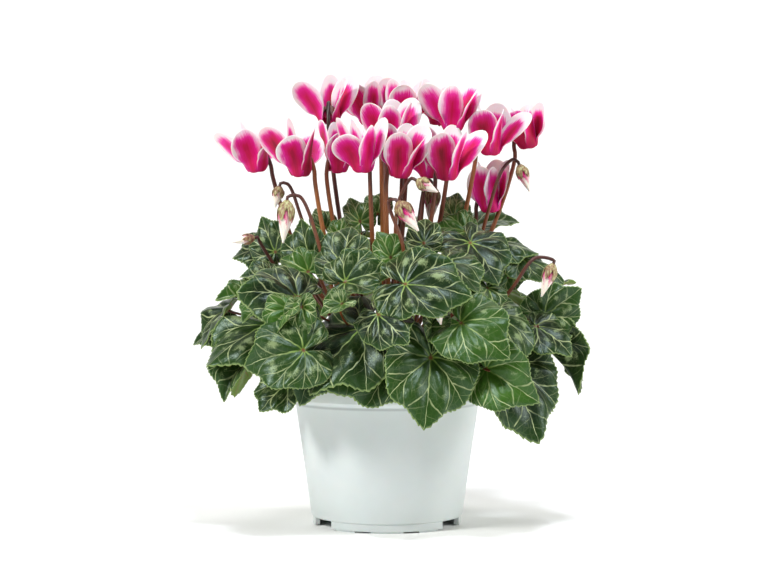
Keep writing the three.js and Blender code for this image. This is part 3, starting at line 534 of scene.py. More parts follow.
def bloom_frame(bloom, push, turn):
    """A flower's mouth, the axis that it opens away from, and the side that its stalk is on."""
    mouth = np.array(bloom["at"], dtype=float)
    mouth += push * unit(mouth - VIEWPOINT)
    axis = unit(np.array([*bloom["lean"], 1.0]))
    heading = math.radians(bloom["stalk"] + turn)
    side = np.array([math.cos(heading), math.sin(heading), 0])
    return mouth, axis, unit(side - axis * (side @ axis))


PETAL_STEP = 60  # degrees between neighbours, which are spread over the side away from the stalk
PETAL_MIDDLE = 172  # degrees from the stalk's side to the middle petal
PETAL_TWIST = 30  # degrees
PETAL_BEND = 0.4  # share of its length where a petal bends outwards
LOW_SPREAD = 0.3  # share of its spread that it has below the bend
MODEL_PETAL = 0.9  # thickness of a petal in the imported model
CUP_RADIUS = 7.6
# Places on a petal's path: distance from the flower's axis, and height over its mouth.
PETAL_ROOT = (CUP_RADIUS - 3.4, 3.2)
PETAL_START = (CUP_RADIUS - 0.9, -1)
PETAL_LIP = (6.0, -0.7)  # where the rounded lip of the mouth ends and a petal rises
PETAL_FOLD = [PETAL_ROOT, (3.6, -0.8), (4.5, -2.4), PETAL_LIP]
PETAL_SCALLOP = 0.9  # how much deeper each lip hangs in its middle
MOUTH_TILT = 0.32  # how much the mouth hangs down towards the front


def petal_path(spread, length, t):
    """A petal's distance from the flower's axis and height over its mouth, from the mouth to its tip."""
    low, rest = math.radians(LOW_SPREAD * spread), math.radians(spread)
    below, above = PETAL_BEND * length, (1 - PETAL_BEND) * length
    bend = CUP_RADIUS + below * math.sin(low), below * math.cos(low)
    tip = bend[0] + above * math.sin(rest), bend[1] + above * math.cos(rest)
    return [(1 - t) ** 2 * PETAL_START[i] + 2 * t * (1 - t) * bend[i] + t ** 2 * tip[i] for i in (0, 1)]


# Each node's corners, for finding where the model has put its flower or leaf.
corners = {name: np.array([tuple(node.matrix_world @ v.co) for v in node.data.vertices]) / MM
           for name, node in frame["nodes"].items() if node.type == "MESH"}


def gaps_to(points, places):
    """The distance from each of some points to the nearest of the places, in millimetres."""
    points = np.asarray(points)
    return np.sqrt(((points[..., None, :] - places) ** 2).sum(-1).min(-1))


def found_bloom(number, bloom):
    """The flower's frame, with the push and turn that put its petals' tips where the model has them."""
    def misses(move):
        mouth, axis, side = bloom_frame(bloom, *move)
        tips = []
        for i, spread in enumerate(bloom["spread"]):
            out = turned(side, axis, math.radians(PETAL_MIDDLE + (i - 2) * PETAL_STEP))
            away, height = petal_path(spread, bloom.get("length", PETAL_LENGTH), 1.0)
            tips.append(mouth + out * away + axis * height)
        return np.abs(gaps_to(tips, corners["bloom_%d" % number]) - MODEL_PETAL / 2).sum()
    return bloom_frame(bloom, *min(((push, turn) for push in PUSHES for turn in TURNS), key=misses))


def tuber_top(radius):
    """Height of the tuber's surface at a distance from its middle."""
    return TUBER_MIDDLE + TUBER_HALF_HEIGHT * math.sqrt(1 - (radius / TUBER_RADIUS) ** 2)


def crown_roots(flowers):
    """Where the flower stalks stand, side by side on the crown, each on the side that it leans to."""
    roots = [np.array([*flower.get("low", flower["at"])[:2], 0]) * CROWN_SHARE for flower in flowers]
    for _ in range(CROWN_ROUNDS):
        for i, root in enumerate(roots):
            for j, other in enumerate(roots):
                apart = root - other
                short = CROWN_SPACING - np.linalg.norm(apart)
                if i != j and short > 0:
                    root += unit(apart) * short / 2
            root *= min(1, CROWN_RADIUS / np.linalg.norm(root))
    return [root + UP * (tuber_top(np.linalg.norm(root)) - ROOT_DEPTH) for root in roots]


def smooth_path(places, step=2.2):
    """Points along a smooth path through some places, about a step apart."""
    places = np.array([2 * places[0] - places[1], *places, 2 * places[-1] - places[-2]])
    path = [places[1]]
    for p0, p1, p2, p3 in zip(places, places[1:], places[2:], places[3:]):
        d0, d1, d2 = (np.linalg.norm(b - a) ** 0.5 for a, b in ((p0, p1), (p1, p2), (p2, p3)))
        m1 = ((p1 - p0) / d0 - (p2 - p0) / (d0 + d1) + (p2 - p1) / d1) * d1
        m2 = ((p2 - p1) / d1 - (p3 - p1) / (d1 + d2) + (p3 - p2) / d2) * d1
        t = np.linspace(0, 1, max(2, int(np.linalg.norm(p2 - p1) / step) + 1))[1:, None]
        path += list((2 * t ** 3 - 3 * t ** 2 + 1) * p1 + (t ** 3 - 2 * t ** 2 + t) * m1
                     + (3 * t ** 2 - 2 * t ** 3) * p2 + (t ** 3 - t ** 2) * m2)
    return np.array(path)


# Geometry Nodes that turn paths into round stems, as thick at each point as the path says.
stems, inputs = new_tree("stems", Sides="Int", Skin="Material")
thick = add(stems, "InputNamedAttribute", "thick", data_type="FLOAT")
curve = add(stems, "MeshToCurve", inputs["Base"])
curve = add(stems, "SetCurveRadius", Curve=curve, Radius=thick)
outline = add(stems, "CurvePrimitiveCircle", Resolution=inputs["Sides"], Radius=1.0)
tube = add(stems, "CurveToMesh", curve, outline, Scale=thick, Fill_Caps=True)
end_tree(stems, tube, inputs["Skin"])

# Stalk skin: taut and slightly glossy, coloured by the red sap under it. Some are ochre, some nearly
# black, and fine lengthwise streaks about 0.5 mm wide run through all of them.
stalk_skin, tree = new_material("flower stalk skin", Roughness=0.42, Subsurface_Weight=0.15,
                                Subsurface_Scale=0.0015)
place = add(tree, "TexCoord", out="Object")
tone = add(tree, "Attribute", out="Fac", attribute_name="tone")
narrow = add(tree, "Mapping", place, Scale=(1800.0, 1800.0, 60.0))
streak = add(tree, "TexNoise", narrow, Scale=1.0, Detail=2.0)
mixed = add(tree, "Math", streak, 0.3, tone, operation="MULTIPLY_ADD")
sap = add(tree, "ValToRGB", mixed, stops={0.2: "#A4662C", 0.45: "#80461E", 0.7: "#54261A", 1.0: "#260E0C"})
dress(stalk_skin, Base_Color=sap,
      Normal=add(tree, "Bump", Height=streak, Strength=0.25, Distance=0.0002))


def stem_mesh(paths, sides, thickness, tones):
    """One mesh of round stems along paths, from arrays of how thick and how dark each is on its way."""
    starts = np.cumsum([0] + [len(path) for path in paths])
    edges = [(i, i + 1) for a, b in zip(starts, starts[1:]) for i in range(a, b - 1)]
    mesh = bpy.data.meshes.new("paths")
    mesh.from_pydata((np.concatenate(paths) * MM).tolist(), edges, [])
    for key, value in (("thick", np.concatenate(thickness) * MM), ("tone", np.concatenate(tones))):
        mesh.attributes.new(key, "FLOAT", "POINT").data.foreach_set("value", value)
    result = grown(mesh, stems, Sides=sides, Skin=stalk_skin)
    result.shade_smooth()
    return result


blooms = [found_bloom(i + 1, bloom) for i, bloom in enumerate(BLOOMS)]
roots = crown_roots(BLOOMS + BUDS)
STALK_TONES = (0.3, 0.0, 0.1, 0.45, 0.2, 0.05, 0.3, 0.4, 0.1, 0.25, 0.3, 0.05, 0.15, 0.2, 0.3, 0.35, 0.3,
               0.2, 0.25, 0.25, 0.15, 0.2, 0.25, 0.25, 0.2, 0.3)
paths = []
thickness = []
for (mouth, axis, side), root in zip(blooms, roots):
    hook = [mouth + side * out + axis * height for out, height in HOOK]
    middle = (root + hook[0]) / 2 + hook[0] * [STALK_BOW, STALK_BOW, 0]
    path = smooth_path([root, root + UP * CROWN_RISE, middle, *hook])
    paths.append(path)
    thickness.append(STALK_RADIUS * np.linspace(*STALK_TAPER, len(path)))
bud_axes = []
for bud, root in zip(BUDS, roots[len(BLOOMS):]):
    at, tip, bend, low = (np.array(bud[key], dtype=float) for key in ("at", "tip", "bend", "low"))
    axis = unit(tip - at)
    base = at - axis * BUD_BASE
    bud_axes.append((base, axis, np.linalg.norm(tip - base)))
    middle = (root + low) / 2 + low * [STALK_BOW, STALK_BOW, 0]
    path = smooth_path([root, root + UP * CROWN_RISE, middle, low, bend, base - axis * BUD_NECK, base])
    paths.append(path)
    thickness.append(BUD_STALK_RADIUS * np.linspace(*BUD_STALK_TAPER, len(path)))
tones = [tone + STALK_DARKENING * np.linspace(0, 1, len(path)) ** 3
         for tone, path in zip(STALK_TONES, paths)]
stalks = stem_mesh(paths, STALK_SIDES, thickness, tones)
new_piece("flower_stalks", stalks, "stalk", ["tuber_and_flower_stalks"], stalk_skin)


# Flowers: five petals that grow together into a short tube at the mouth, fold back over its rim and
# stand up behind it like a shuttlecock, each lying over the next. A five-toothed calyx holds the tube.
FOLD_ROWS = 7
PETAL_ROWS = 26
PETAL_COLUMNS = 15
PETAL_SKIN = 0.4
WIDEST = 0.56  # share of its length where a petal is widest
ROOT_HALF = 2.6  # half a petal's width where it leaves the tube
ROOT_GROWTH = 1.6  # how much wider it is at the mouth
PETAL_GROWTH = 5.1  # how much wider it is where it is widest
PETAL_WAVE = 0.35  # how far its sides wave
MIDRIB_GROOVE = 0.28
GROOVE_HALF = 0.7
FRONT_SHORTER = 0.2  # share of its length that a petal loses when it faces the viewer
LIP_SHARE = 0.14  # where the lip ends, along a petal
TWIST_SHARE = 0.15
STRAIGHT_SHARE = 0.3  # where the round base has become a flat petal
BLUNT = 0.0008  # keeps a petal's tip from closing to a point
HOLLOW = ([-0.1, 0, 0.16, 0.54, 0.84, 1], [0, 0.3, 0.8, 1.2, 0.5, 0])  # places along, and how deep there


def closed(upper, lower, triangles):
    """A thin closed skin between two faces that share their triangles."""
    edges = np.concatenate([triangles[:, [0, 1]], triangles[:, [1, 2]], triangles[:, [2, 0]]]).tolist()
    known = set(map(tuple, edges))
    a, b = np.array([edge for edge in edges if (edge[1], edge[0]) not in known]).T
    under = len(upper)
    return np.concatenate([upper, lower]), np.concatenate([
        triangles, triangles[:, ::-1] + under,
        np.stack([a, a + under, b + under], 1), np.stack([a, b + under, b], 1)])


def grid_triangles(rows, columns):
    """Triangles between the rows and columns of a grid of points."""
    i = (np.arange(rows - 1)[:, None] * columns + np.arange(columns - 1)).ravel()
    return np.concatenate([np.stack([i, i + 1, i + columns + 1], 1),
                           np.stack([i, i + columns + 1, i + columns], 1)])


def petal(frame, angle, spread, length, rng):
    """A petal: its points, triangles, flat places and values."""
    mouth, axis, side = frame
    out = turned(side, axis, math.radians(angle))
    across = np.cross(axis, out)
    length *= 1 - FRONT_SHORTER * max(0, -out[1])
    s = np.linspace(0, 1, FOLD_ROWS)[:-1]
    fold = sum(c * np.outer(w, p) for c, w, p in zip(
        (1, 3, 3, 1), ((1 - s) ** 3, s * (1 - s) ** 2, s ** 2 * (1 - s), s ** 3), PETAL_FOLD))
    t = np.linspace(0, 1, PETAL_ROWS)
    t -= 0.1 * np.sin(2 * np.pi * t)  # rows lie closer towards both ends
    rising = np.stack(petal_path(spread, length, t), 1)
    rising += np.outer((1 - np.clip(t / LIP_SHARE, 0, 1)) ** 2, np.subtract(PETAL_LIP, PETAL_START))
    path = np.concatenate([fold, rising])
    along = np.concatenate([s - 1, t])
    rise = np.arctan2(*np.gradient(path, axis=0).T[::-1])
    face = np.outer(np.sin(rise), out) - np.outer(np.cos(rise), axis)
    line = np.cross(face, across)
    twist = np.radians(PETAL_TWIST) * np.clip(along / TWIST_SHARE, 0, 1) ** 2
    twist = twist + rng.uniform(-0.1, 0.5) * np.clip(along, 0, 1) ** 1.5
    run = turned(across[None], line, twist)
    face = turned(face, line, twist)
    widened = np.clip(along / WIDEST, 0, 1)
    half = np.where(along < 0, ROOT_HALF + ROOT_GROWTH * (1 + along),
                    ROOT_HALF + ROOT_GROWTH + PETAL_GROWTH * widened ** 2 * (3 - 2 * widened))
    half = half * (1 + rng.uniform(-0.06, 0.1) * np.clip(along, 0, 1))
    beyond = np.clip((along - WIDEST) / (1 - WIDEST), 0, 1)
    half = half * np.maximum(1 - beyond ** 2.3, BLUNT) ** 0.5
    u = np.linspace(-1, 1, PETAL_COLUMNS)
    hollow = np.interp(along, *HOLLOW) * rng.uniform(0.7, 1.6)
    wave = PETAL_WAVE * np.clip(along, 0, 1)[:, None] * u ** 3 * np.sin(
        9 * along[:, None] + 2 * np.sign(u) + rng.uniform(0, 6))
    width = half[:, None] * u
    groove = MIDRIB_GROOVE * np.exp(-(width / GROOVE_HALF) ** 2) * np.clip(1 - along, 0, 1)[:, None]
    depth = wave - hollow[:, None] * u ** 2 - groove
    centre = mouth + np.outer(path[:, 0], out) + np.outer(path[:, 1], axis)
    middle = centre[:, None] + width[..., None] * run[:, None] + depth[..., None] * face[:, None]
    reach = np.maximum(path[:, :1], ROOT_HALF)
    round_base = (mouth + np.outer(path[:, 1], axis))[:, None] + reach[..., None] * (
        np.cos(width / reach)[..., None] * out + np.sin(width / reach)[..., None] * across)
    drop = PETAL_SCALLOP * np.exp(-(along / 0.16) ** 2)[:, None] * (1 - u ** 2)
    hanging = MOUTH_TILT * np.exp(-(np.maximum(along, 0) / 0.25) ** 2)[:, None]
    drop = drop + hanging * (mouth - round_base)[..., 1]
    round_base -= drop[..., None] * axis
    straight = np.clip(along / STRAIGHT_SHARE, 0, 1)[:, None, None] ** 2
    middle = middle * straight + round_base * (1 - straight)
    normal = unit(np.cross(np.gradient(middle, axis=1), np.gradient(middle, axis=0)))
    flat = np.stack([width, np.broadcast_to(along[:, None] * length, width.shape)], -1).reshape(-1, 2)
    lift = PETAL_SKIN / 2 * normal
    count = width.size
    points, triangles = closed((middle + lift).reshape(-1, 3), (middle - lift).reshape(-1, 3),
                               grid_triangles(len(along), PETAL_COLUMNS))
    edge = np.minimum(half[:, None] * (1 - np.abs(u)), (1 - along[:, None]) * length * 0.9).ravel()
    return points, triangles, np.tile(flat, (2, 1)) + rng.uniform(0, 400, 2) * [1, 0], dict(
        edge=np.tile(edge, 2), tone=rng.uniform(-0.35, 0.35), white=rng.uniform(-1.0, 1.0),
        along=np.tile(np.repeat(along, PETAL_COLUMNS), 2), inner=np.repeat([0.0, 1.0], count))


# Petal: a thin, soft skin, crimson at its base and magenta above, which breaks up into fine lengthwise
# streaks, 0.5 to 1 mm wide, and ends in a white margin. Its inner side is white over the upper part. The
# darkest crimson, deep inside each petal away from its margins, is partly its own colour and partly painted
# shade of its hollow.
petal_skin, tree = new_material("petal skin", Roughness=0.6, Subsurface_Weight=0.3,
                                Subsurface_Scale=0.0012, Specular_IOR_Level=0.25)
flat = add(tree, "UVMap", uv_map="flat")
edge, along, inner, tone, white = (add(tree, "Attribute", out="Fac", attribute_name=name)
                                   for name in ("edge", "along", "inner", "tone", "white"))
stretched = add(tree, "Mapping", flat, Scale=(1.5, 0.1, 1.0))
streak = add(tree, "TexNoise", stretched, Scale=1.0, Detail=3.0, Roughness=0.6)
broad = add(tree, "TexNoise", flat, Scale=0.12, Detail=1.0)
tips = add(tree, "MapRange", along, From_Min=0.45, From_Max=1.0, To_Max=4.2, interpolation_type="SMOOTHSTEP")
tips = add(tree, "Math", tips, inner, operation="MULTIPLY")
root = add(tree, "MapRange", along, From_Min=0.05, From_Max=0.5, To_Min=5.0, To_Max=0.0)
depth = add(tree, "Math", edge, root, operation="ADD")
for paler in (tips, white):
    depth = add(tree, "Math", depth, paler, operation="SUBTRACT")
for pattern, amount in ((streak, 5.0), (broad, 3.0)):
    depth = add(tree, "Math", pattern, amount, depth, operation="MULTIPLY_ADD")
depth = add(tree, "MapRange", depth, From_Min=4.0, From_Max=12.8)
light = add(tree, "MapRange", tone, To_Min=0.66, To_Max=1.12)
depth = add(tree, "Math", depth, light, operation="MULTIPLY")
# The ramp's dark crimson end, reached far from the margins, is partly painted shade of the petal's hollow.
shade = add(tree, "ValToRGB", depth, stops={
    0.0: "#E6DCDC", 0.08: "#E8CAD6", 0.17: "#E488B8", 0.28: "#DA2896", 0.45: "#CC0A72", 0.66: "#BE044C",
    1.0: "#860826"})
hem = add(tree, "MapRange", edge, From_Min=0.3, From_Max=0.9, To_Min=0.8, To_Max=0.0)
above = add(tree, "MapRange", along, From_Min=0.12, From_Max=0.3)
hem = add(tree, "Math", hem, above, operation="MULTIPLY")
fold = add(tree, "MapRange", along, From_Min=-0.1, From_Max=0.16, To_Min=0.75, To_Max=0.0)
for cover, colour in ((hem, "#EEE6E4"), (fold, "#A80450")):
    shade = add(tree, "Mix", cover, shade, colour, data_type="RGBA")
deep = add(tree, "Math", tone, 0.5, operation="SUBTRACT", use_clamp=True)
red = add(tree, "Mix", 1.0, shade, "#D8A8B8", data_type="RGBA", blend_type="MULTIPLY")
dress(petal_skin, Base_Color=add(tree, "Mix", deep, shade, red, data_type="RGBA"),
      Normal=add(tree, "Bump", Height=streak, Strength=0.35, Distance=0.0003))

# Calyx: a small leathery cup with five pointed lobes, dark brown with a red cast on a flower and a paler
# brown green on a bud.
calyx_skin, tree = new_material("calyx skin", Roughness=0.5)
place = add(tree, "TexCoord", out="Object")
young = add(tree, "Attribute", out="Fac", attribute_name="young")
place = add(tree, "Mapping", place, Scale=(900.0, 900.0, 300.0))
patch = add(tree, "TexNoise", place, Scale=1.0, Detail=3.0)
patch = add(tree, "Math", young, 0.3, patch, operation="MULTIPLY_ADD")
dress(calyx_skin, Base_Color=add(tree, "ValToRGB", patch, stops={
    0.35: "#3C1E1A", 0.55: "#6A4030", 0.72: "#8A6A48", 0.95: "#B9BE86"}))

TUBE_SIDES = 24
# Outlines of (radius, height over the mouth), and the line that a lobe of the calyx bends along.
TUBE = [(0, 3.4), (4.4, 3.4), (5.0, 0.6), (5.8, 1.6), (5.5, 4), (3.6, 6.2), (0, 6.4)]
STYLE = [(0, -2.9), (0.6, -2.7), (0.95, -1.9), (0.6, -1.2), (0.6, 3.5), (0, 3.6)]
CALYX_CUP = [(0, 5.8), (3.5, 6.0), (3.8, 7.2), (2.7, 8.9), (1.6, 10.2), (0, 10.4)]
SEPAL = [(2.4, 9.1), (4.3, 7.4), (5.6, 5.2), (6.3, 3.2)]
SEPAL_HALF = 2.3
SEPAL_COUNT = 5
CALYX_SIDES = 20
LOBE_ROWS = 10
LOBE_COLUMNS = 5
LOBE_CURL = 0.12  # how far a lobe's sides bend in, for each of its half widths
# How deep the colour of each flower is, and how far its white margin reaches in, in millimetres.
BLOOM_TONES = (0.25, 0.6, 0.4, 0.3, 0.0, 0.2, 0.6, 0.4, 0.5, 0.6, 0.15, 0.4, 0.3, 0.0, 0.5, 0.5, 0.8)
BLOOM_WHITES = (1.4, 0.3, 0.7, 1.8, 1.2, 0.2, 2.4, 1.8, 0.7, 0.2, 1.0, 0.8, -0.6, 1.0, 0.2, 2.4, 1.2)


def fitted(points, base, axis, side):
    """Points from a piece's own directions, with the axis up, put in their place."""
    return base + np.asarray(points) @ np.stack([side, np.cross(axis, side), axis])


def pointed_lobe(path, half, angle, thickness):
    """A pointed leaf-like lobe that runs along a path of distance from the axis and height."""
    t = np.linspace(0, 1, LOBE_ROWS)
    line = np.stack([np.interp(t, np.linspace(0, 1, len(path)), places) for places in zip(*path)], 1)
    u = np.linspace(-1, 1, LOBE_COLUMNS)
    width = (half * np.sin(np.pi * (0.35 + 0.65 * t)) ** 0.8)[:, None] * u
    slope = np.gradient(line, axis=0)
    normal = unit(np.stack([-slope[:, 1], slope[:, 0]], 1))
    away = line[:, :1] - LOBE_CURL * width ** 2 / half
    cos, sin = math.cos(math.radians(angle)), math.sin(math.radians(angle))
    middle = np.stack([away * cos - width * sin, away * sin + width * cos,
                       np.broadcast_to(line[:, 1:], away.shape)], -1)
    lift = np.stack([normal[:, 0] * cos, normal[:, 0] * sin, normal[:, 1]], -1)[:, None] * thickness / 2
    return closed((middle - lift).reshape(-1, 3), (middle + lift).reshape(-1, 3),
                  grid_triangles(LOBE_ROWS, LOBE_COLUMNS))


def calyx(cup, lobe, half, turn, thickness, *frame):
    """The solids of a calyx in its place: the cup and its pointed lobes."""
    solids = [spun(cup, CALYX_SIDES)]
    solids += [pointed_lobe(lobe, half, i * 360 / SEPAL_COUNT + turn, thickness) for i in range(SEPAL_COUNT)]
    return [(fitted(points, *frame), triangles) for points, triangles in solids]


def joined(name, parts):
    """One mesh from solids that each have points, triangles, flat places and values for the points."""
    values = {key: np.concatenate([np.broadcast_to(part[3][key], len(part[0])) for part in parts])
              for key in parts[0][3]}
    return new_mesh(name, *stacked([part[:2] for part in parts]),
                    uv=np.concatenate([part[2] for part in parts]), **values)


calyx_solids = []
for number, (bloom, frame_of_bloom, tone, white) in enumerate(
        zip(BLOOMS, blooms, BLOOM_TONES, BLOOM_WHITES), 1):
    mouth, axis, side = frame_of_bloom
    rng = np.random.default_rng(number)
    parts = [petal(frame_of_bloom, PETAL_MIDDLE + (i - 2) * PETAL_STEP, spread,
                   bloom.get("length", PETAL_LENGTH), rng) for i, spread in enumerate(bloom["spread"])]
    for profile, along in ((TUBE, 0.0), (STYLE, 0.1)):
        points, triangles = spun(profile, TUBE_SIDES)
        parts.append((fitted(points, mouth, axis, side), triangles, points[:, :2],
                      dict(edge=9.0, along=along, inner=0.0, tone=0.3, white=0.0)))
    for *_, values in parts:
        values["tone"] += tone
        values["white"] += white
    new_piece("flower_%d" % number, joined("bloom", parts), "petal", ["bloom_%d" % number], petal_skin)
    calyx_solids += calyx(CALYX_CUP, SEPAL, SEPAL_HALF, 20, 0.5, mouth, axis, side)
points, triangles = stacked(calyx_solids)
calyxes = new_mesh("calyxes", points, triangles, young=np.zeros(len(points)))
new_piece("calyxes", calyxes, "stalk", ["tuber_and_flower_stalks"], calyx_skin)


# Buds: five petals rolled round each other like a closed umbrella, cream with pink along their pleats,
# held at the top in a brown-green calyx. Some show more pink than others.
BUD_ROWS = 26
BUD_SIDES = 40
BUD_SHAPE = [(0, 0.35), (0.2, 0.9), (0.4, 1), (0.7, 0.6), (1, 0.08)]
BUD_PLEATS = 5
BUD_TURN = 2.6  # radians that the pleats wind round a bud
PLEAT_DEPTH = 0.16
BUD_PINKS = (0.35, 0.1, 0.0, 0.55, 0.3, 0.6, 0.4, 0.2, 0.5)

# Bud petal: like the open petal, but pale, with pink or crimson where one petal's edge lies on the next.
bud_skin, tree = new_material("rolled bud petals", Roughness=0.5, Subsurface_Weight=0.2,
                              Subsurface_Scale=0.001)
flat = add(tree, "UVMap", uv_map="flat")
pink, pleat = (add(tree, "Attribute", out="Fac", attribute_name=name) for name in ("pink", "pleat"))
stretched = add(tree, "Mapping", flat, Scale=(12.0, 1.5, 1.0))
streak = add(tree, "TexNoise", stretched, Scale=1.0, Detail=3.0)
height = add(tree, "SeparateXYZ", flat, out="Y")
amount = add(tree, "Math", pleat, streak, operation="MULTIPLY")
amount = add(tree, "Math", amount, 1.6, pink, operation="MULTIPLY_ADD")
amount = add(tree, "Math", height, -2.2, amount, operation="MULTIPLY_ADD")
amount = add(tree, "MapRange", amount, From_Min=-0.7, From_Max=0.1)
dress(bud_skin, Base_Color=add(tree, "Mix", amount, "#F0E6D8", "#C81470", data_type="RGBA"),
      Normal=add(tree, "Bump", Height=streak, Strength=0.3, Distance=0.0002))

for number, (bud, (base, axis, length), pink) in enumerate(zip(BUDS, bud_axes, BUD_PINKS), 1):
    rng = np.random.default_rng(50 + number)
    side = unit(np.cross(axis, [0.3, 1, 0.2]))
    share = np.linspace(0.04, 0.995, BUD_ROWS)
    radius = bud["radius"] * np.interp(share, *zip(*BUD_SHAPE))
    radius = np.convolve(np.pad(radius, 2, mode="edge"), np.ones(5) / 5, mode="valid")
    points, triangles = spun([(0, share[0] * length), *zip(radius, share * length), (0, length)], BUD_SIDES)
    turn = np.arctan2(points[:, 1], points[:, 0])
    height = points[:, 2] / length
    pleat = (BUD_PLEATS * (turn + BUD_TURN * height) / (2 * np.pi)) % 1
    points[:, :2] *= (1 + PLEAT_DEPTH * (pleat - 0.6))[:, None]
    mesh = new_mesh("bud", fitted(points, base, axis, side), triangles,
                    uv=np.stack([turn, height], 1), pleat=pleat ** 2, pink=np.full(len(points), pink))
    new_piece("bud_petals_%d" % number, mesh, "bud", ["bud_%d" % number], bud_skin)
    r = bud["radius"]
    cup = [(0, 0.05), (r * 0.7, 0.1 * length), (r * 1.04, 0.24 * length), (r * 1.06, 0.17 * length),
           (r * 0.85, 0.07 * length), (1.5, -0.6), (0, -0.7)]
    lobe = [(r * 0.98, 0.14 * length), (r * 1.14, 0.24 * length), (r * 1.12, 0.36 * length),
            (r * 1.0, 0.5 * length)]
    points, triangles = stacked(calyx(cup, lobe, 0.56 * r, 30, 0.35, base, axis, side))
    mesh = new_mesh("calyx", points, triangles, young=np.full(len(points), rng.uniform(0.6, 1)))
    new_piece("bud_calyx_%d" % number, mesh, "bud", ["bud_%d" % number], calyx_skin)


# Leaves: heart-shaped, toothed blades on long stalks. Each is stiff and puckered between its veins, and
# grows from a stub on the crown that it shares with its neighbours.
INNER_RING = 0.5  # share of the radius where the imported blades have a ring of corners
LEAF_STALK_JOINT = 0.2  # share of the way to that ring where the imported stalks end
STALK_DEPTH = 0.3
LEAF_STALK_RADIUS = 1.2
SECTOR = 21  # degrees between the radii of EDGE, which go from the tip round to the notch
NOTCH = 168  # degrees from the tip to each side of the notch at the stalk
EDGE = [1, 0.85, 0.8, 0.68, 0.68, 0.6, 0.62, 0.52, 0.42]
WAVE_SHIFT = 2.4  # radians from one leaf's waves to the next one's
DOME_MIDDLE = np.array([0, 0, 100.0])
TO_SKY = 0.3  # how far a blade's face turns upwards
TO_FRONT = 0.6  # and to the front
FRONT = np.array([0, -1.0, 0])
MODEL_THICKNESS = 0.9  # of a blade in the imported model
STUB_RADIUS = 2.1
STUB_HEIGHT = 4
RINGS = (14.2, 17.2, 20)  # radii on the crown that stubs stand at
LEAF_STALK_RISE = 0.3  # where a stalk's curve is drawn to on its way, as shares of its length
LEAF_STALK_OUT = 0.12
LEAF_STALK_IN = 0.1
LEAF_STALK_TAPER = (1.05, 0.65)
LEAF_STALK_SIDES = 10
LEAF_STALK_TONE = 0.5
FUNNEL, FLATTENING, WAVE, DROOP = 0.16, 0.06, 0.055, 0.2  # of a blade, as shares of its length
NEAR = 0.02  # millimetres within which a corner of the model counts as found

# Where the stalk meets the blade, the blade's tip, and the fold along its midrib in degrees, less than
# nothing where the sides hang down. Most turn towards the front, by the share in front. Some are fresher
# green than others, and one shows its underside.
LEAVES = [
    dict(at=(-55, -60, 147), tip=(-89, -70, 151), fold=-10),
    dict(at=(11, -84, 155), tip=(48, -94, 150), fold=0),
    dict(at=(44, -88, 132), tip=(71, -101, 113), fold=0, fresh=0.62),
    dict(at=(26, -84, 111), tip=(22, -101, 71), fold=10, fresh=0.34),
    dict(at=(-15, -68, 128), tip=(-49, -92, 89), fold=-12),
    dict(at=(-50, -78, 115), tip=(-86, -82, 109), fold=0, fresh=0.3),
    dict(at=(1, -74, 109), tip=(-33, -93, 98), fold=-15, fresh=0.3),
    dict(at=(-5, -92, 137), tip=(12, -106, 121), fold=-25),
    dict(at=(67, -58, 135), tip=(82, -74, 106), fold=-12),
    dict(at=(73, -54, 103), tip=(93, -70, 62), fold=0),
    dict(at=(60, -77, 104), tip=(86, -93, 88), fold=12, fresh=0.85),
    dict(at=(100, -22, 135), tip=(121, -28, 151), fold=10, fresh=0.35),
    dict(at=(98, -15, 116), tip=(121, -35, 88), fold=35, front=0, turned_over=True),
    dict(at=(36, -62, 168), tip=(54, -77, 150), fold=-10),
    dict(at=(52, -32, 180), tip=(69, -51, 157), fold=0),
    dict(at=(58, 30, 192), tip=(87, 34, 196), fold=10, fresh=0.5),
    dict(at=(71, -6, 181), tip=(96, -10, 174), fold=-12),
    dict(at=(86, -12, 171), tip=(111, -14, 154), fold=-15),
    dict(at=(23, -40, 180), tip=(24, -32, 196), fold=12),
    dict(at=(-25, -63, 156), tip=(2, -71, 164), fold=20),
    dict(at=(-27, -42, 166), tip=(-23, -28, 190), fold=10),
    dict(at=(-48, -22, 169), tip=(-52, -12, 194), fold=15),
    dict(at=(-75, -32, 129), tip=(-110, -52, 108), fold=-10),
    dict(at=(-88, -38, 108), tip=(-101, -50, 84), fold=30),
    dict(at=(-61, -55, 94), tip=(-77, -67, 78), fold=0),
    dict(at=(-73, -24, 157), tip=(-94, -29, 160), fold=20),
    dict(at=(-86, -14, 144), tip=(-106, -24, 147), fold=30, fresh=0.8),
    dict(at=(-99, -17, 139), tip=(-119, -29, 116), fold=10),
    dict(at=(-106, 15, 124), tip=(-127, 20, 115), fold=10),
    dict(at=(-72, 0, 175), tip=(-81, 5, 197), fold=10),
    dict(at=(-74, -10, 179), tip=(-99, -12, 172), fold=-10),
    dict(at=(-49, -42, 162), tip=(-66, -36, 171), fold=20, fresh=0.9),
    dict(at=(50, -12, 188), tip=(32, -18, 191), fold=20, fresh=1.0),
    dict(at=(93, -34, 128), tip=(114, -46, 112), fold=-10),
    dict(at=(110, 20, 150), tip=(123, 22, 156), fold=10, front=0),
    dict(at=(-18, 20, 195), tip=(-24, 25, 211), fold=20, fresh=0.8),
    dict(at=(-6, 30, 200), tip=(-2, 38, 215), fold=20, fresh=0.7),
    dict(at=(44, 26, 198), tip=(47, 34, 214), fold=20, fresh=0.9),
]
# The back of the plant repeats the front's three tiers with full-grown leaves.
BACK_TIERS = [
    dict(count=6, start=16, end=164, away=84, height=112, length=42, drop=34),
    dict(count=5, start=26, end=154, away=70, height=148, length=40, drop=18),
    dict(count=3, start=46, end=134, away=45, height=183, length=38, drop=6),
]
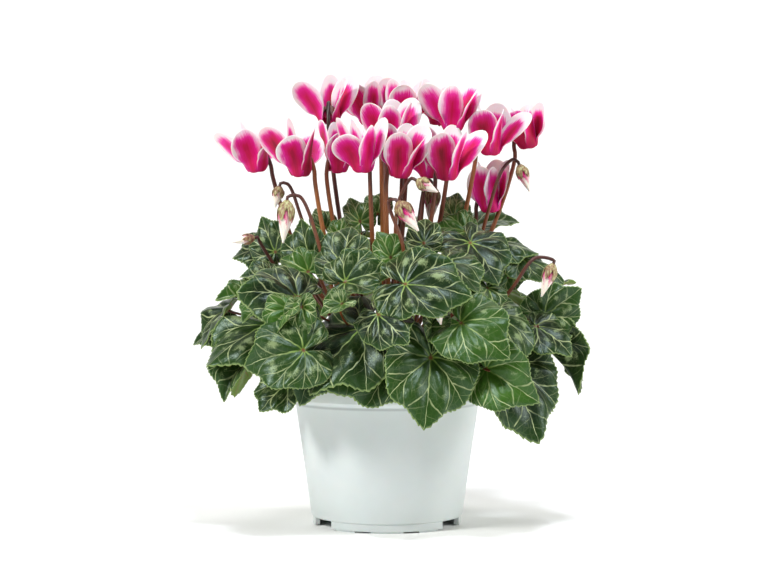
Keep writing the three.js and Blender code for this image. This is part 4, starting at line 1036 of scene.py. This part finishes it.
# The model shifted, tilted and shrank blades, and bent their stalks, to keep them clear of each other.
LEAF_MOVES = list(itertools.product(  # push, pitch, roll and size
    (0, 3, -3, 6, -6, 9, -9, 13, -13, 18, 24, 30), (0, 7, -7, 14, -14), (0, 9, -9, 18, -18, 27, -27),
    (1, 0.9, 0.75)))
LEAF_BENDS = list(itertools.product(  # bow, sway, swing and reach
    (0, 6, -6, 12, -12, 18, 24, -18, 30), (0, 5, -5, 10, -10, 16, -16, 24, -24, 32, -32),
    (0, 6, -6, 14, -14), (0.25, 0.12, 0.4)))


def back_leaves():
    """Leaves of the back tiers, each turned and raised a little from an even row."""
    for number, tier in enumerate(BACK_TIERS):
        for i in range(tier["count"]):
            angle = math.radians(tier["start"] + (tier["end"] - tier["start"]) * i / (tier["count"] - 1))
            turn = angle + 0.35 * math.sin(7 * i + 2 * number)
            reach = math.sqrt(tier["length"] ** 2 - tier["drop"] ** 2)
            at = np.array([tier["away"] * math.cos(angle), tier["away"] * math.sin(angle),
                           tier["height"] + 5 * math.sin(4 * i + number)])
            tip = at + [reach * math.cos(turn), reach * math.sin(turn), -tier["drop"]]
            yield dict(at=at, tip=tip, fold=10 * math.sin(3 * i + number), front=0)


def leaf_frames(leaf, moves):
    """Where a blade is attached, its directions and its length, for each of some moves."""
    at = np.array(leaf["at"], dtype=float)
    sight = unit(at - VIEWPOINT)
    along = np.array(leaf["tip"]) - at
    length = np.linalg.norm(along)
    along = along / length
    face = unit(at + along * length / 2 - DOME_MIDDLE) + TO_SKY * UP + leaf.get("front", TO_FRONT) * FRONT
    face = unit(face - along * (along @ face))
    push, pitch, roll, size = np.array(moves, dtype=float).T[:, :, None]
    face = turned(face, along, np.radians(roll[:, 0]))
    across = np.cross(along, face)
    pitch = np.radians(pitch)
    forward = along * np.cos(pitch) + face * np.sin(pitch)
    face = face * np.cos(pitch) - along * np.sin(pitch)
    return dict(at=at + sight * push, along=forward, across=across, face=face, length=length * size)


def blade_height(angle, share, edge, wave):
    """Height of a blade over its flat outline: a shallow funnel with a waved edge and a drooping tip."""
    y = share * edge * np.cos(angle)
    waved = WAVE * share ** 2 * np.sin(5 * angle + wave)
    return FUNNEL * share - FLATTENING * share ** 3 + waved - DROOP * y ** 2


def blade_places(leaf, wave, frame, angle, share, edge, lift):
    """Points of a blade in one frame or several, from angle to the tip in radians and share of radius."""
    x, y = share * edge * np.sin(angle), share * edge * np.cos(angle)
    fold = math.radians(leaf["fold"])
    height = blade_height(angle, share, edge, wave) - y * blade_height(0, 1, 1, wave)
    height = height + np.abs(x) * math.sin(fold)
    length = frame["length"]
    steps = (y * length, "along"), (x * math.cos(fold) * length, "across"), (height * length + lift, "face")
    return frame["at"][..., None, :] + sum(step[..., None] * frame[way][..., None, :] for step, way in steps)


leaf_corners = [(name, corner) for name in corners if name.startswith("leaves_") for corner in corners[name]]
leaf_tree = KDTree(len(leaf_corners))
for number, (_, corner) in enumerate(leaf_corners):
    leaf_tree.insert(corner, number)
leaf_tree.balance()


def found_leaf(leaf, wave):
    """A leaf's frame and node, from the move that puts its tip and lobes where the model has them."""
    frames = leaf_frames(leaf, LEAF_MOVES)
    angle = np.radians([0, NOTCH, -NOTCH])
    edge = np.array([EDGE[0], EDGE[-1], EDGE[-1]])
    half = MODEL_THICKNESS / 2
    places = [blade_places(leaf, wave, frames, angle, 1, edge, lift) for lift in (half, -half)]
    places = np.concatenate(places, 1)
    misses = [leaf_tree.find(tips[0])[2] for tips in places]
    near = [i for i, miss in enumerate(misses) if miss < min(misses) + NEAR]
    best = min(near, key=lambda i: sum(leaf_tree.find(place)[2] for place in places[i]))
    owner = leaf_corners[leaf_tree.find(places[best][0])[1]][0]
    return {key: value[best] for key, value in frames.items()}, owner


def stub_of(node):
    """The base and axis of a leaf node's stub, from its lowest corners against the tuber's skin."""
    semiaxes = [TUBER_RADIUS, TUBER_RADIUS, TUBER_HALF_HEIGHT]
    depth = (((corners[node] - [0, 0, TUBER_MIDDLE]) / semiaxes) ** 2).sum(1)
    middle = corners[node][np.argsort(depth)[:4]].mean(0)
    radius = min(RINGS, key=lambda ring: abs(ring - np.hypot(*middle[:2])))
    skin = np.array([*unit(middle[:2]) * radius, tuber_top(radius)])
    flatness = (TUBER_RADIUS / TUBER_HALF_HEIGHT) ** 2
    axis = unit(skin * [1, 1, flatness] - [0, 0, TUBER_MIDDLE * flatness])
    return skin + axis * GAP, axis


def stalk_ends(frame, foot, bends):
    """The two inner control points of a leaf's stalk, for each of some bends."""
    bow, sway, swing, reach = np.array(bends, dtype=float).T[:, :, None]
    far = np.linalg.norm(frame["at"] - foot)
    out = unit(frame["at"] * [1, 1, 0])
    sideways = np.cross(out, UP)
    start = foot + UP * LEAF_STALK_RISE * far + out * LEAF_STALK_OUT * far + sideways * (sway + swing)
    end = frame["at"] - frame["face"] * reach * far - out * LEAF_STALK_IN * far
    end = end + UP * bow + sideways * sway
    return start, end


def bezier(t, *places):
    """Points of a cubic curve between its ends, drawn to two places on the way."""
    weights = [c * (1 - t) ** (3 - i) * t ** i for i, c in enumerate((1, 3, 3, 1))]
    return sum(weight * place for weight, place in zip(weights, places))


def found_stalk(leaf, wave, frame, foot, node):
    """The inner control points of a leaf's stalk, from the bend that fits the model's corners best."""
    ring = blade_places(leaf, wave, frame, np.zeros(1), INNER_RING, 1, -STALK_DEPTH)[0]
    joint = frame["at"] + (ring - frame["at"]) * LEAF_STALK_JOINT
    start, end = stalk_ends(frame, foot, LEAF_BENDS)
    fits = sum((np.abs(np.linalg.norm(bezier(t, foot, start, end, joint)[:, None] - corners[node], axis=2)
                       - LEAF_STALK_RADIUS) < NEAR).sum(1) for t in (1 / 3, 2 / 3))
    best = fits.argmax()
    return start[best], end[best]


# Geometry of a blade: rings of corners round the place where the stalk joins, each at a share of its
# radius and with a number of steps.
BLADE_RINGS = [(0.1, 16), (0.22, 32), (0.36, 64), (0.5, 64), (0.64, 64), (0.76, 128), (0.87, 128),
               (0.95, 256), (1, 256)]
TEETH = 64
TOOTH = 0.022  # how far a tooth stands out, as a share of the radius
LOBE = 0.035  # how far the margin stands out where a main vein meets it
BLADE_THICKNESS = 0.5
PUCKER = 0.042  # how far a blade bulges between its veins, as a share of its length
BRANCH_PUCKER = 0.006
BRANCH_STEP = 7.5  # millimetres between branches
RUFFLES = ((0.03, 4, 7, 3), (0.012, 3, 17, 1))  # height, growth outwards, number and shift of waves
SAG = 0.06
VEIN_STEP = 0.82  # radians between main veins
VEIN_CURVE = 0.2  # how far they bend to the tip
FINE_EDGE = [1, 0.83, 0.8, 0.7, 0.65, 0.63, 0.6, 0.53, 0.43]  # EDGE with a longer tip and a firmer shoulder
STALK_JOINT_SHARE = 0.08  # share of a blade's length where its stalk goes into it
STALK_STEPS = 26
SILVER = (-0.12, 0.16)  # how much less or more of a leaf is silvered
FRESHEST = 0.22  # green of leaves that have no value of their own
edge_angles = np.arange(NOTCH + 1)
even_radii = np.pad(np.interp(edge_angles / SECTOR, range(len(EDGE)), FINE_EDGE), 4, mode="reflect")
edge_radii = np.convolve(even_radii, np.hanning(11)[1:-1] / np.hanning(11).sum(), mode="valid")
edge_radii *= 1 + 0.03 * np.exp(-(edge_angles / 7) ** 2)


def blade_triangles():
    """Triangles between a blade's rings of corners."""
    i = np.arange(BLADE_RINGS[0][1])
    triangles = [np.stack([0 * i, i + 2, i + 1], 1)]
    inner = 1
    for (_, count), (_, next_count) in zip(BLADE_RINGS, BLADE_RINGS[1:]):
        a = inner + np.arange(count)
        inner += count + 1
        if next_count == count:
            b = inner + np.arange(count)
            triangles += [np.stack([a, a + 1, b + 1], 1), np.stack([a, b + 1, b], 1)]
        else:
            b = inner + 2 * np.arange(count)
            triangles += [np.stack([a, b + 1, b], 1), np.stack([a, a + 1, b + 1], 1),
                          np.stack([a + 1, b + 2, b + 1], 1)]
    return np.concatenate(triangles)


BLADE_TRIANGLES = blade_triangles()


def fine_blade(leaf, wave, frame, rng, silver):
    """A toothed, puckered blade: its points, triangles, flat places and values."""
    angle = [np.zeros(1)]
    share = [np.zeros(1)]
    tooth = [np.zeros(1)]
    for ring, count in BLADE_RINGS:
        step = np.arange(count + 1)
        angle.append(np.linspace(-NOTCH, NOTCH, count + 1) + rng.normal(0, 0.12, count + 1) * ring)
        share.append(np.full(count + 1, ring))
        tooth.append((1 - ((step * TEETH / count) % 1) * 2) * (ring == 1) * rng.uniform(0.4, 1.2, count + 1))
    angle, share, tooth = (np.concatenate(part) for part in (angle, share, tooth))
    turn = np.radians(angle)
    phi = turn * (1 + VEIN_CURVE * share) / VEIN_STEP
    uneven = sum(rng.uniform(-1, 1) * np.sin(k * turn + rng.uniform(0, 6)) / k for k in (2, 3, 4, 5))
    edge = np.interp(np.abs(angle), edge_angles, edge_radii)
    edge = edge * (1 + 0.05 * share * uneven + LOBE * share * (np.abs(np.cos(np.pi * phi)) ** 1.5 - 0.5))
    edge = edge * (1 + TOOTH * tooth)
    length = frame["length"]
    middle = blade_places(leaf, wave, frame, turn, share, edge, 0.0)
    fade = share * (1 - share ** 8)
    across = np.abs(((phi + 0.5) % 1) - 0.5) * VEIN_STEP * share * edge
    branch = np.cos(2 * np.pi * (share * edge - 1.1 * across) * length / BRANCH_STEP)
    pucker = -PUCKER * fade * np.cos(2 * np.pi * phi) - BRANCH_PUCKER * fade * branch
    ruffle = sum(high * share ** out * np.sin(count * turn + wave * shift)
                 for high, out, count, shift in RUFFLES)
    ruffle += 0.045 * share ** 2 * np.sin(3 * turn + wave * 2) - SAG * share ** 4
    middle = middle + ((pucker + ruffle) * length)[:, None] * frame["face"]
    flat = np.stack([share * edge * np.sin(turn), share * edge * np.cos(turn)], 1)
    lift = BLADE_THICKNESS / 2 * frame["face"]
    points, triangles = closed(middle + lift, middle - lift, BLADE_TRIANGLES)
    count = len(flat)
    under = [0.0, 0.0 if "turned_over" in leaf else 1.0]
    return points, triangles, np.tile(flat, (2, 1)), dict(
        share=np.tile(share, 2), span=length[0], under=np.repeat(under, count), tone=rng.uniform(),
        silver=rng.uniform(*silver), fresh=leaf.get("fresh", rng.uniform(0, FRESHEST)))


def stalk_path(leaf, wave, frame, foot, ends):
    """The path of a leaf's stalk from its foot into the blade."""
    joint = blade_places(leaf, wave, frame, np.zeros(1), STALK_JOINT_SHARE, 1, 0.0)[0]
    return bezier(np.linspace(0, 1, STALK_STEPS)[:, None], foot, *ends, joint)


# Leaf blade: dark blue-green and glossy above, with pale veins that branch like a tree, silver-grey
# marbling between them and a greener margin. Underneath it is dull and yellow-green. The main veins
# narrow from 1.2 to 0.3 mm, and the fine net between them and their branches has meshes of about 3 mm.
leaf_skin, tree = new_material("marbled leaf blade", Specular_IOR_Level=0.45, Specular_Tint="#C8DED4")
flat = add(tree, "UVMap", uv_map="flat")
share, span, under, tone, silver, fresh = (
    add(tree, "Attribute", out="Fac", attribute_name=name)
    for name in ("share", "span", "under", "tone", "silver", "fresh"))
own = add(tree, "Math", tone, 70.0, operation="MULTIPLY")
bend = add(tree, "TexNoise", flat, W=own, Scale=5.0, out="Color", noise_dimensions="4D")
bend = add(tree, "VectorMath", bend, (0.5, 0.5, 0.5), operation="SUBTRACT")
bent = add(tree, "VectorMath", bend, (0.07, 0.07, 0.0), flat, operation="MULTIPLY_ADD")
across = add(tree, "SeparateXYZ", bent, out="X")
theta = add(tree, "Math", across, across.node.outputs["Y"], operation="ARCTAN2")
radius = add(tree, "VectorMath", bent, operation="LENGTH")
radius = add(tree, "Math", radius, span, operation="MULTIPLY")
spread = add(tree, "Math", share, VEIN_CURVE, 1.0, operation="MULTIPLY_ADD")
phi = add(tree, "Math", theta, spread, operation="MULTIPLY")
phi = add(tree, "Math", phi, VEIN_STEP, operation="DIVIDE")
sector = add(tree, "Math", phi, 0.5, operation="PINGPONG")
which = add(tree, "Math", phi, 0.5, -0.5, operation="WRAP")
which = add(tree, "Math", which, operation="SIGN")
away = add(tree, "Math", sector, VEIN_STEP, operation="MULTIPLY")
away = add(tree, "Math", away, radius, operation="MULTIPLY")
width = add(tree, "MapRange", share, To_Min=0.62, To_Max=0.16)
veins = add(tree, "Math", away, width, operation="DIVIDE")
veins = add(tree, "MapRange", veins, From_Min=0.5, From_Max=1.3, To_Min=1.0, To_Max=0.0,
            interpolation_type="SMOOTHSTEP")
# Pairs of branches leave each main vein at a share of the radius and meet the next one's.
for start, slope, thin, strength in ((0.5, 0.95, 0.27, 0.8), (0.28, 1.1, 0.18, 0.2), (0.74, 1.5, 0.15, 0.3)):
    fork = add(tree, "Math", which, 0.07 * slope, -slope * start, operation="MULTIPLY_ADD")
    fork = add(tree, "Math", share, slope, fork, operation="MULTIPLY_ADD")
    past = add(tree, "MapRange", fork, From_Max=0.03)
    fork = add(tree, "Math", fork, sector, operation="SUBTRACT")
    fork = add(tree, "Math", fork, operation="ABSOLUTE")
    fork = add(tree, "Math", fork, radius, operation="MULTIPLY")
    fork = add(tree, "MapRange", fork, From_Min=thin * 0.8, From_Max=thin * 2.4, To_Min=strength, To_Max=0.0,
               interpolation_type="SMOOTHSTEP")
    fork = add(tree, "Math", fork, past, operation="MULTIPLY")
    veins = add(tree, "Math", veins, fork, operation="MAXIMUM")
real = add(tree, "VectorMath", bent, span, operation="SCALE")
net = add(tree, "TexVoronoi", real, Scale=0.3, feature="DISTANCE_TO_EDGE")
net = add(tree, "MapRange", net, From_Min=0.01, From_Max=0.1, To_Min=0.06, To_Max=0.0)
veins = add(tree, "Math", veins, net, operation="MAXIMUM")

cloud = add(tree, "TexNoise", real, W=own, Scale=0.22, Detail=2.0, noise_dimensions="4D")
speckle = add(tree, "TexNoise", real, Scale=1.1, Detail=3.0, Roughness=0.7)
zone = add(tree, "MapRange", share, From_Min=0.3, From_Max=0.55, interpolation_type="SMOOTHSTEP")
last = add(tree, "MapRange", share, From_Min=0.72, From_Max=0.9, To_Min=1.0, To_Max=0.0,
           interpolation_type="SMOOTHSTEP")
zone = add(tree, "Math", zone, last, operation="MULTIPLY")
marble = silver
for pattern, amount in ((zone, 0.4), (sector, 0.5), (cloud, 0.9), (speckle, 0.6)):
    marble = add(tree, "Math", pattern, amount, marble, operation="MULTIPLY_ADD")
marble = add(tree, "MapRange", marble, From_Min=1.36, From_Max=1.62, To_Max=0.75,
             interpolation_type="SMOOTHSTEP")
marble = add(tree, "Math", marble, zone, operation="MULTIPLY")
middle = add(tree, "MapRange", share, From_Min=0.1, From_Max=0.5)
vein_colour = add(tree, "Mix", middle, "#7F9C44", "#B5C08A", data_type="RGBA")
patchy = add(tree, "TexNoise", real, W=own, Scale=0.11, noise_dimensions="4D")
patchy = add(tree, "MapRange", patchy, From_Min=0.38, From_Max=0.6, To_Min=0.2, To_Max=0.95)
faint = add(tree, "Math", veins, patchy, operation="MULTIPLY")
rim = add(tree, "MapRange", share, From_Min=0.72, From_Max=0.98, To_Max=0.7)
border = add(tree, "MapRange", share, From_Min=0.975, From_Max=0.995, To_Max=0.75)
dot = add(tree, "MapRange", radius, From_Min=0.7, From_Max=1.6, To_Min=0.9, To_Max=0.0)
below = add(tree, "Mix", veins, "#6F8A34", "#8A5A3C", data_type="RGBA")
colour = add(tree, "Mix", cloud, "#020602", "#182B12", data_type="RGBA")
for cover, layer in ((fresh, "#3C621C"), (rim, "#2C481C"), (marble, "#8E9F6E"), (faint, vein_colour),
                     (border, "#8DA260"), (dot, "#6A3A24"), (under, below)):
    colour = add(tree, "Mix", cover, colour, layer, data_type="RGBA")
gloss = add(tree, "MapRange", marble, To_Min=0.28, To_Max=0.42)
relief = add(tree, "Math", veins, -1.0, speckle, operation="MULTIPLY_ADD")
dress(leaf_skin, Base_Color=colour, Roughness=add(tree, "Math", under, 0.2, gloss, operation="MULTIPLY_ADD"),
      Normal=add(tree, "Bump", Height=relief, Strength=0.35, Distance=0.0004))

all_leaves = [*LEAVES, *back_leaves()]
blades = {}
leaf_paths = {}
for number, leaf in enumerate(all_leaves):
    rng = np.random.default_rng(100 + number)
    wave = WAVE_SHIFT * number
    place, node = found_leaf(leaf, wave)
    base, axis = stub_of(node)
    foot = base + axis * STUB_HEIGHT / 2
    ends = found_stalk(leaf, wave, place, foot, node)
    leaf_paths.setdefault(node, [np.array([base, foot, base + axis * STUB_HEIGHT])]).append(
        stalk_path(leaf, wave, place, foot, ends))
    blades.setdefault(node, []).append(fine_blade(leaf, wave, place, rng, SILVER))

for node, parts in blades.items():
    new_piece("blades_of_" + node, joined("blades", parts), "leaf", [node], leaf_skin)
    paths = leaf_paths[node]
    thickness = [np.array([STUB_RADIUS, STUB_RADIUS, 0.7 * STUB_RADIUS])]
    thickness += [LEAF_STALK_RADIUS * np.linspace(*LEAF_STALK_TAPER, len(path)) for path in paths[1:]]
    tones = [np.full(len(path), LEAF_STALK_TONE) for path in paths]
    stalks = stem_mesh(paths, LEAF_STALK_SIDES, thickness, tones)
    new_piece("stalks_of_" + node, stalks, "leaf", [node], stalk_skin)


# Young leaves: small and cupped, most of them a brighter green, on thin stalks of their own from the
# crown. They stand in the gaps between the large leaves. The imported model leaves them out, because they
# are so small.
YOUNG_LEAVES = [
    dict(at=(-38, -62, 113), tip=(-53, -73, 85), fold=-5, fresh=0.1),
    dict(at=(-27, -90, 143), tip=(-38, -99, 138), fold=38, fresh=0.6),
    dict(at=(2, -58, 171), tip=(-6, -57, 187), fold=25, fresh=0.95),
    dict(at=(-30, -12, 186), tip=(-27, -10, 198), fold=20, fresh=1.0),
    dict(at=(79, -2, 163), tip=(74, -6, 148), fold=10, fresh=0.8),
    dict(at=(-60, -72, 140), tip=(-68, -80, 124), fold=30, fresh=0.9),
    dict(at=(-51, -76, 141), tip=(-47, -82, 126), fold=25, fresh=0.6),
    dict(at=(28, -78, 130), tip=(27, -88, 115), fold=45, fresh=0.3),
    dict(at=(62, -46, 152), tip=(67, -56, 139), fold=5, fresh=0.4),
    dict(at=(-40, 0, 190), tip=(-46, 4, 203), fold=20, fresh=0.5),
    dict(at=(-76, -48, 142), tip=(-88, -58, 132), fold=20, fresh=0.85),
]
YOUNG_RING = 12
YOUNG_ROOT_DEPTH = 0.5
YOUNG_STALK_RADIUS = 0.85
YOUNG_STALK_TAPER = (1.1, 0.7)
YOUNG_STALK_TONE = 0.4
YOUNG_SILVER = (-0.1, 0.1)
paths = []
parts = []
for number, leaf in enumerate(YOUNG_LEAVES, len(all_leaves)):
    rng = np.random.default_rng(100 + number)
    wave = WAVE_SHIFT * number
    place = {key: value[0] for key, value in leaf_frames(leaf, [(0, 0, 0, 1)]).items()}
    foot = np.array([*unit(place["at"][:2]) * YOUNG_RING, tuber_top(YOUNG_RING) - YOUNG_ROOT_DEPTH])
    ends = (value[0] for value in stalk_ends(place, foot, [(0, 0, 0, 0.25)]))
    paths.append(stalk_path(leaf, wave, place, foot, ends))
    parts.append(fine_blade(leaf, wave, place, rng, YOUNG_SILVER))
new_piece("young_blades", joined("young_blades", parts), "leaf", [], leaf_skin)
thickness = [YOUNG_STALK_RADIUS * np.linspace(*YOUNG_STALK_TAPER, len(path)) for path in paths]
tones = [np.full(len(path), YOUNG_STALK_TONE) for path in paths]
stalks = stem_mesh(paths, LEAF_STALK_SIDES, thickness, tones)
new_piece("young_stalks", stalks, "leaf", [], stalk_skin)


# Stage: a white floor that bends up into a wall behind the plant and runs far on to the other sides,
# where it fades into the grey of the room. A key light high on the left casts the shadows, a larger and
# weaker one on the right and a small cool one above fill them, and one more lights the wall.
paper, _ = new_material("matt white paper", Roughness=0.9, Base_Color="#F4F4F2")
# The paper's line, as metres to the back and up, and half its width.
SWEEP = [(-60, 0), (1.2, 0), (1.6, 0.06), (1.9, 0.25), (2.1, 0.6), (2.15, 4)]
SWEEP_HALF = 60
ROOM_LIGHT = 0.13
sweep = bpy.data.meshes.new("sweep")
sweep.from_pydata([(x, y, z) for y, z in SWEEP for x in (-SWEEP_HALF, SWEEP_HALF)], [],
                  [(2 * i, 2 * i + 1, 2 * i + 3, 2 * i + 2) for i in range(len(SWEEP) - 1)])
sweep.shade_smooth()
sweep.materials.append(paper)
floor = bpy.data.objects.new("sweep", sweep)
bpy.context.scene.collection.objects.link(floor)
floor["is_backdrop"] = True

world = bpy.data.worlds.new("studio")
world.use_nodes = True
world.node_tree.nodes["Background"].inputs[0].default_value = linear("#F4F6F8")
world.node_tree.nodes["Background"].inputs[1].default_value = ROOM_LIGHT
bpy.context.scene.world = world
bpy.context.scene.view_settings.view_transform = "Standard"

LIGHTS = [  # place, what it shines on, size in metres, power in watts and colour
    ("key", (-1.1, -0.8, 1.0), (0, 0, 0.15), 0.3, 20.5, "#FFFFFF"),
    ("side", (1.3, -0.35, 0.7), (0, 0, 0.13), 0.6, 12, "#FFFFFF"),
    ("top", (0.15, -0.6, 1.35), (0, 0, 0.15), 0.2, 11, "#F0F5FF"),
    ("backdrop", (0, 0.7, 2.4), (0, 2.1, 1.2), 1.5, 45, "#FFFFFF"),
]
for name, spot, target, size, power, colour in LIGHTS:
    light = bpy.data.lights.new(name, "AREA")
    light.size = size
    light.energy = power
    light.color = linear(colour)[:3]
    lamp = bpy.data.objects.new(name, light)
    lamp.location = spot
    lamp.rotation_euler = (Vector(target) - Vector(spot)).to_track_quat("-Z", "Y").to_euler()
    bpy.context.scene.collection.objects.link(lamp)

CAMERA_DISTANCE = 1.1
CAMERA_HEIGHT = 0.1654
CAMERA_DIP = 0.76  # degrees below the level
LENS = 79.4
PICTURE_WIDTH = 772
camera = bpy.data.objects.new("camera", bpy.data.cameras.new("camera"))
camera.data.lens = LENS
camera.data.shift_x = -1 / PICTURE_WIDTH  # the plant stands one pixel to the right of the middle
camera.location = (0, -CAMERA_DISTANCE, CAMERA_HEIGHT)
camera.rotation_euler = (math.radians(90 - CAMERA_DIP), 0, 0)
bpy.context.scene.collection.objects.link(camera)
bpy.context.scene.camera = camera

low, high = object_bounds()
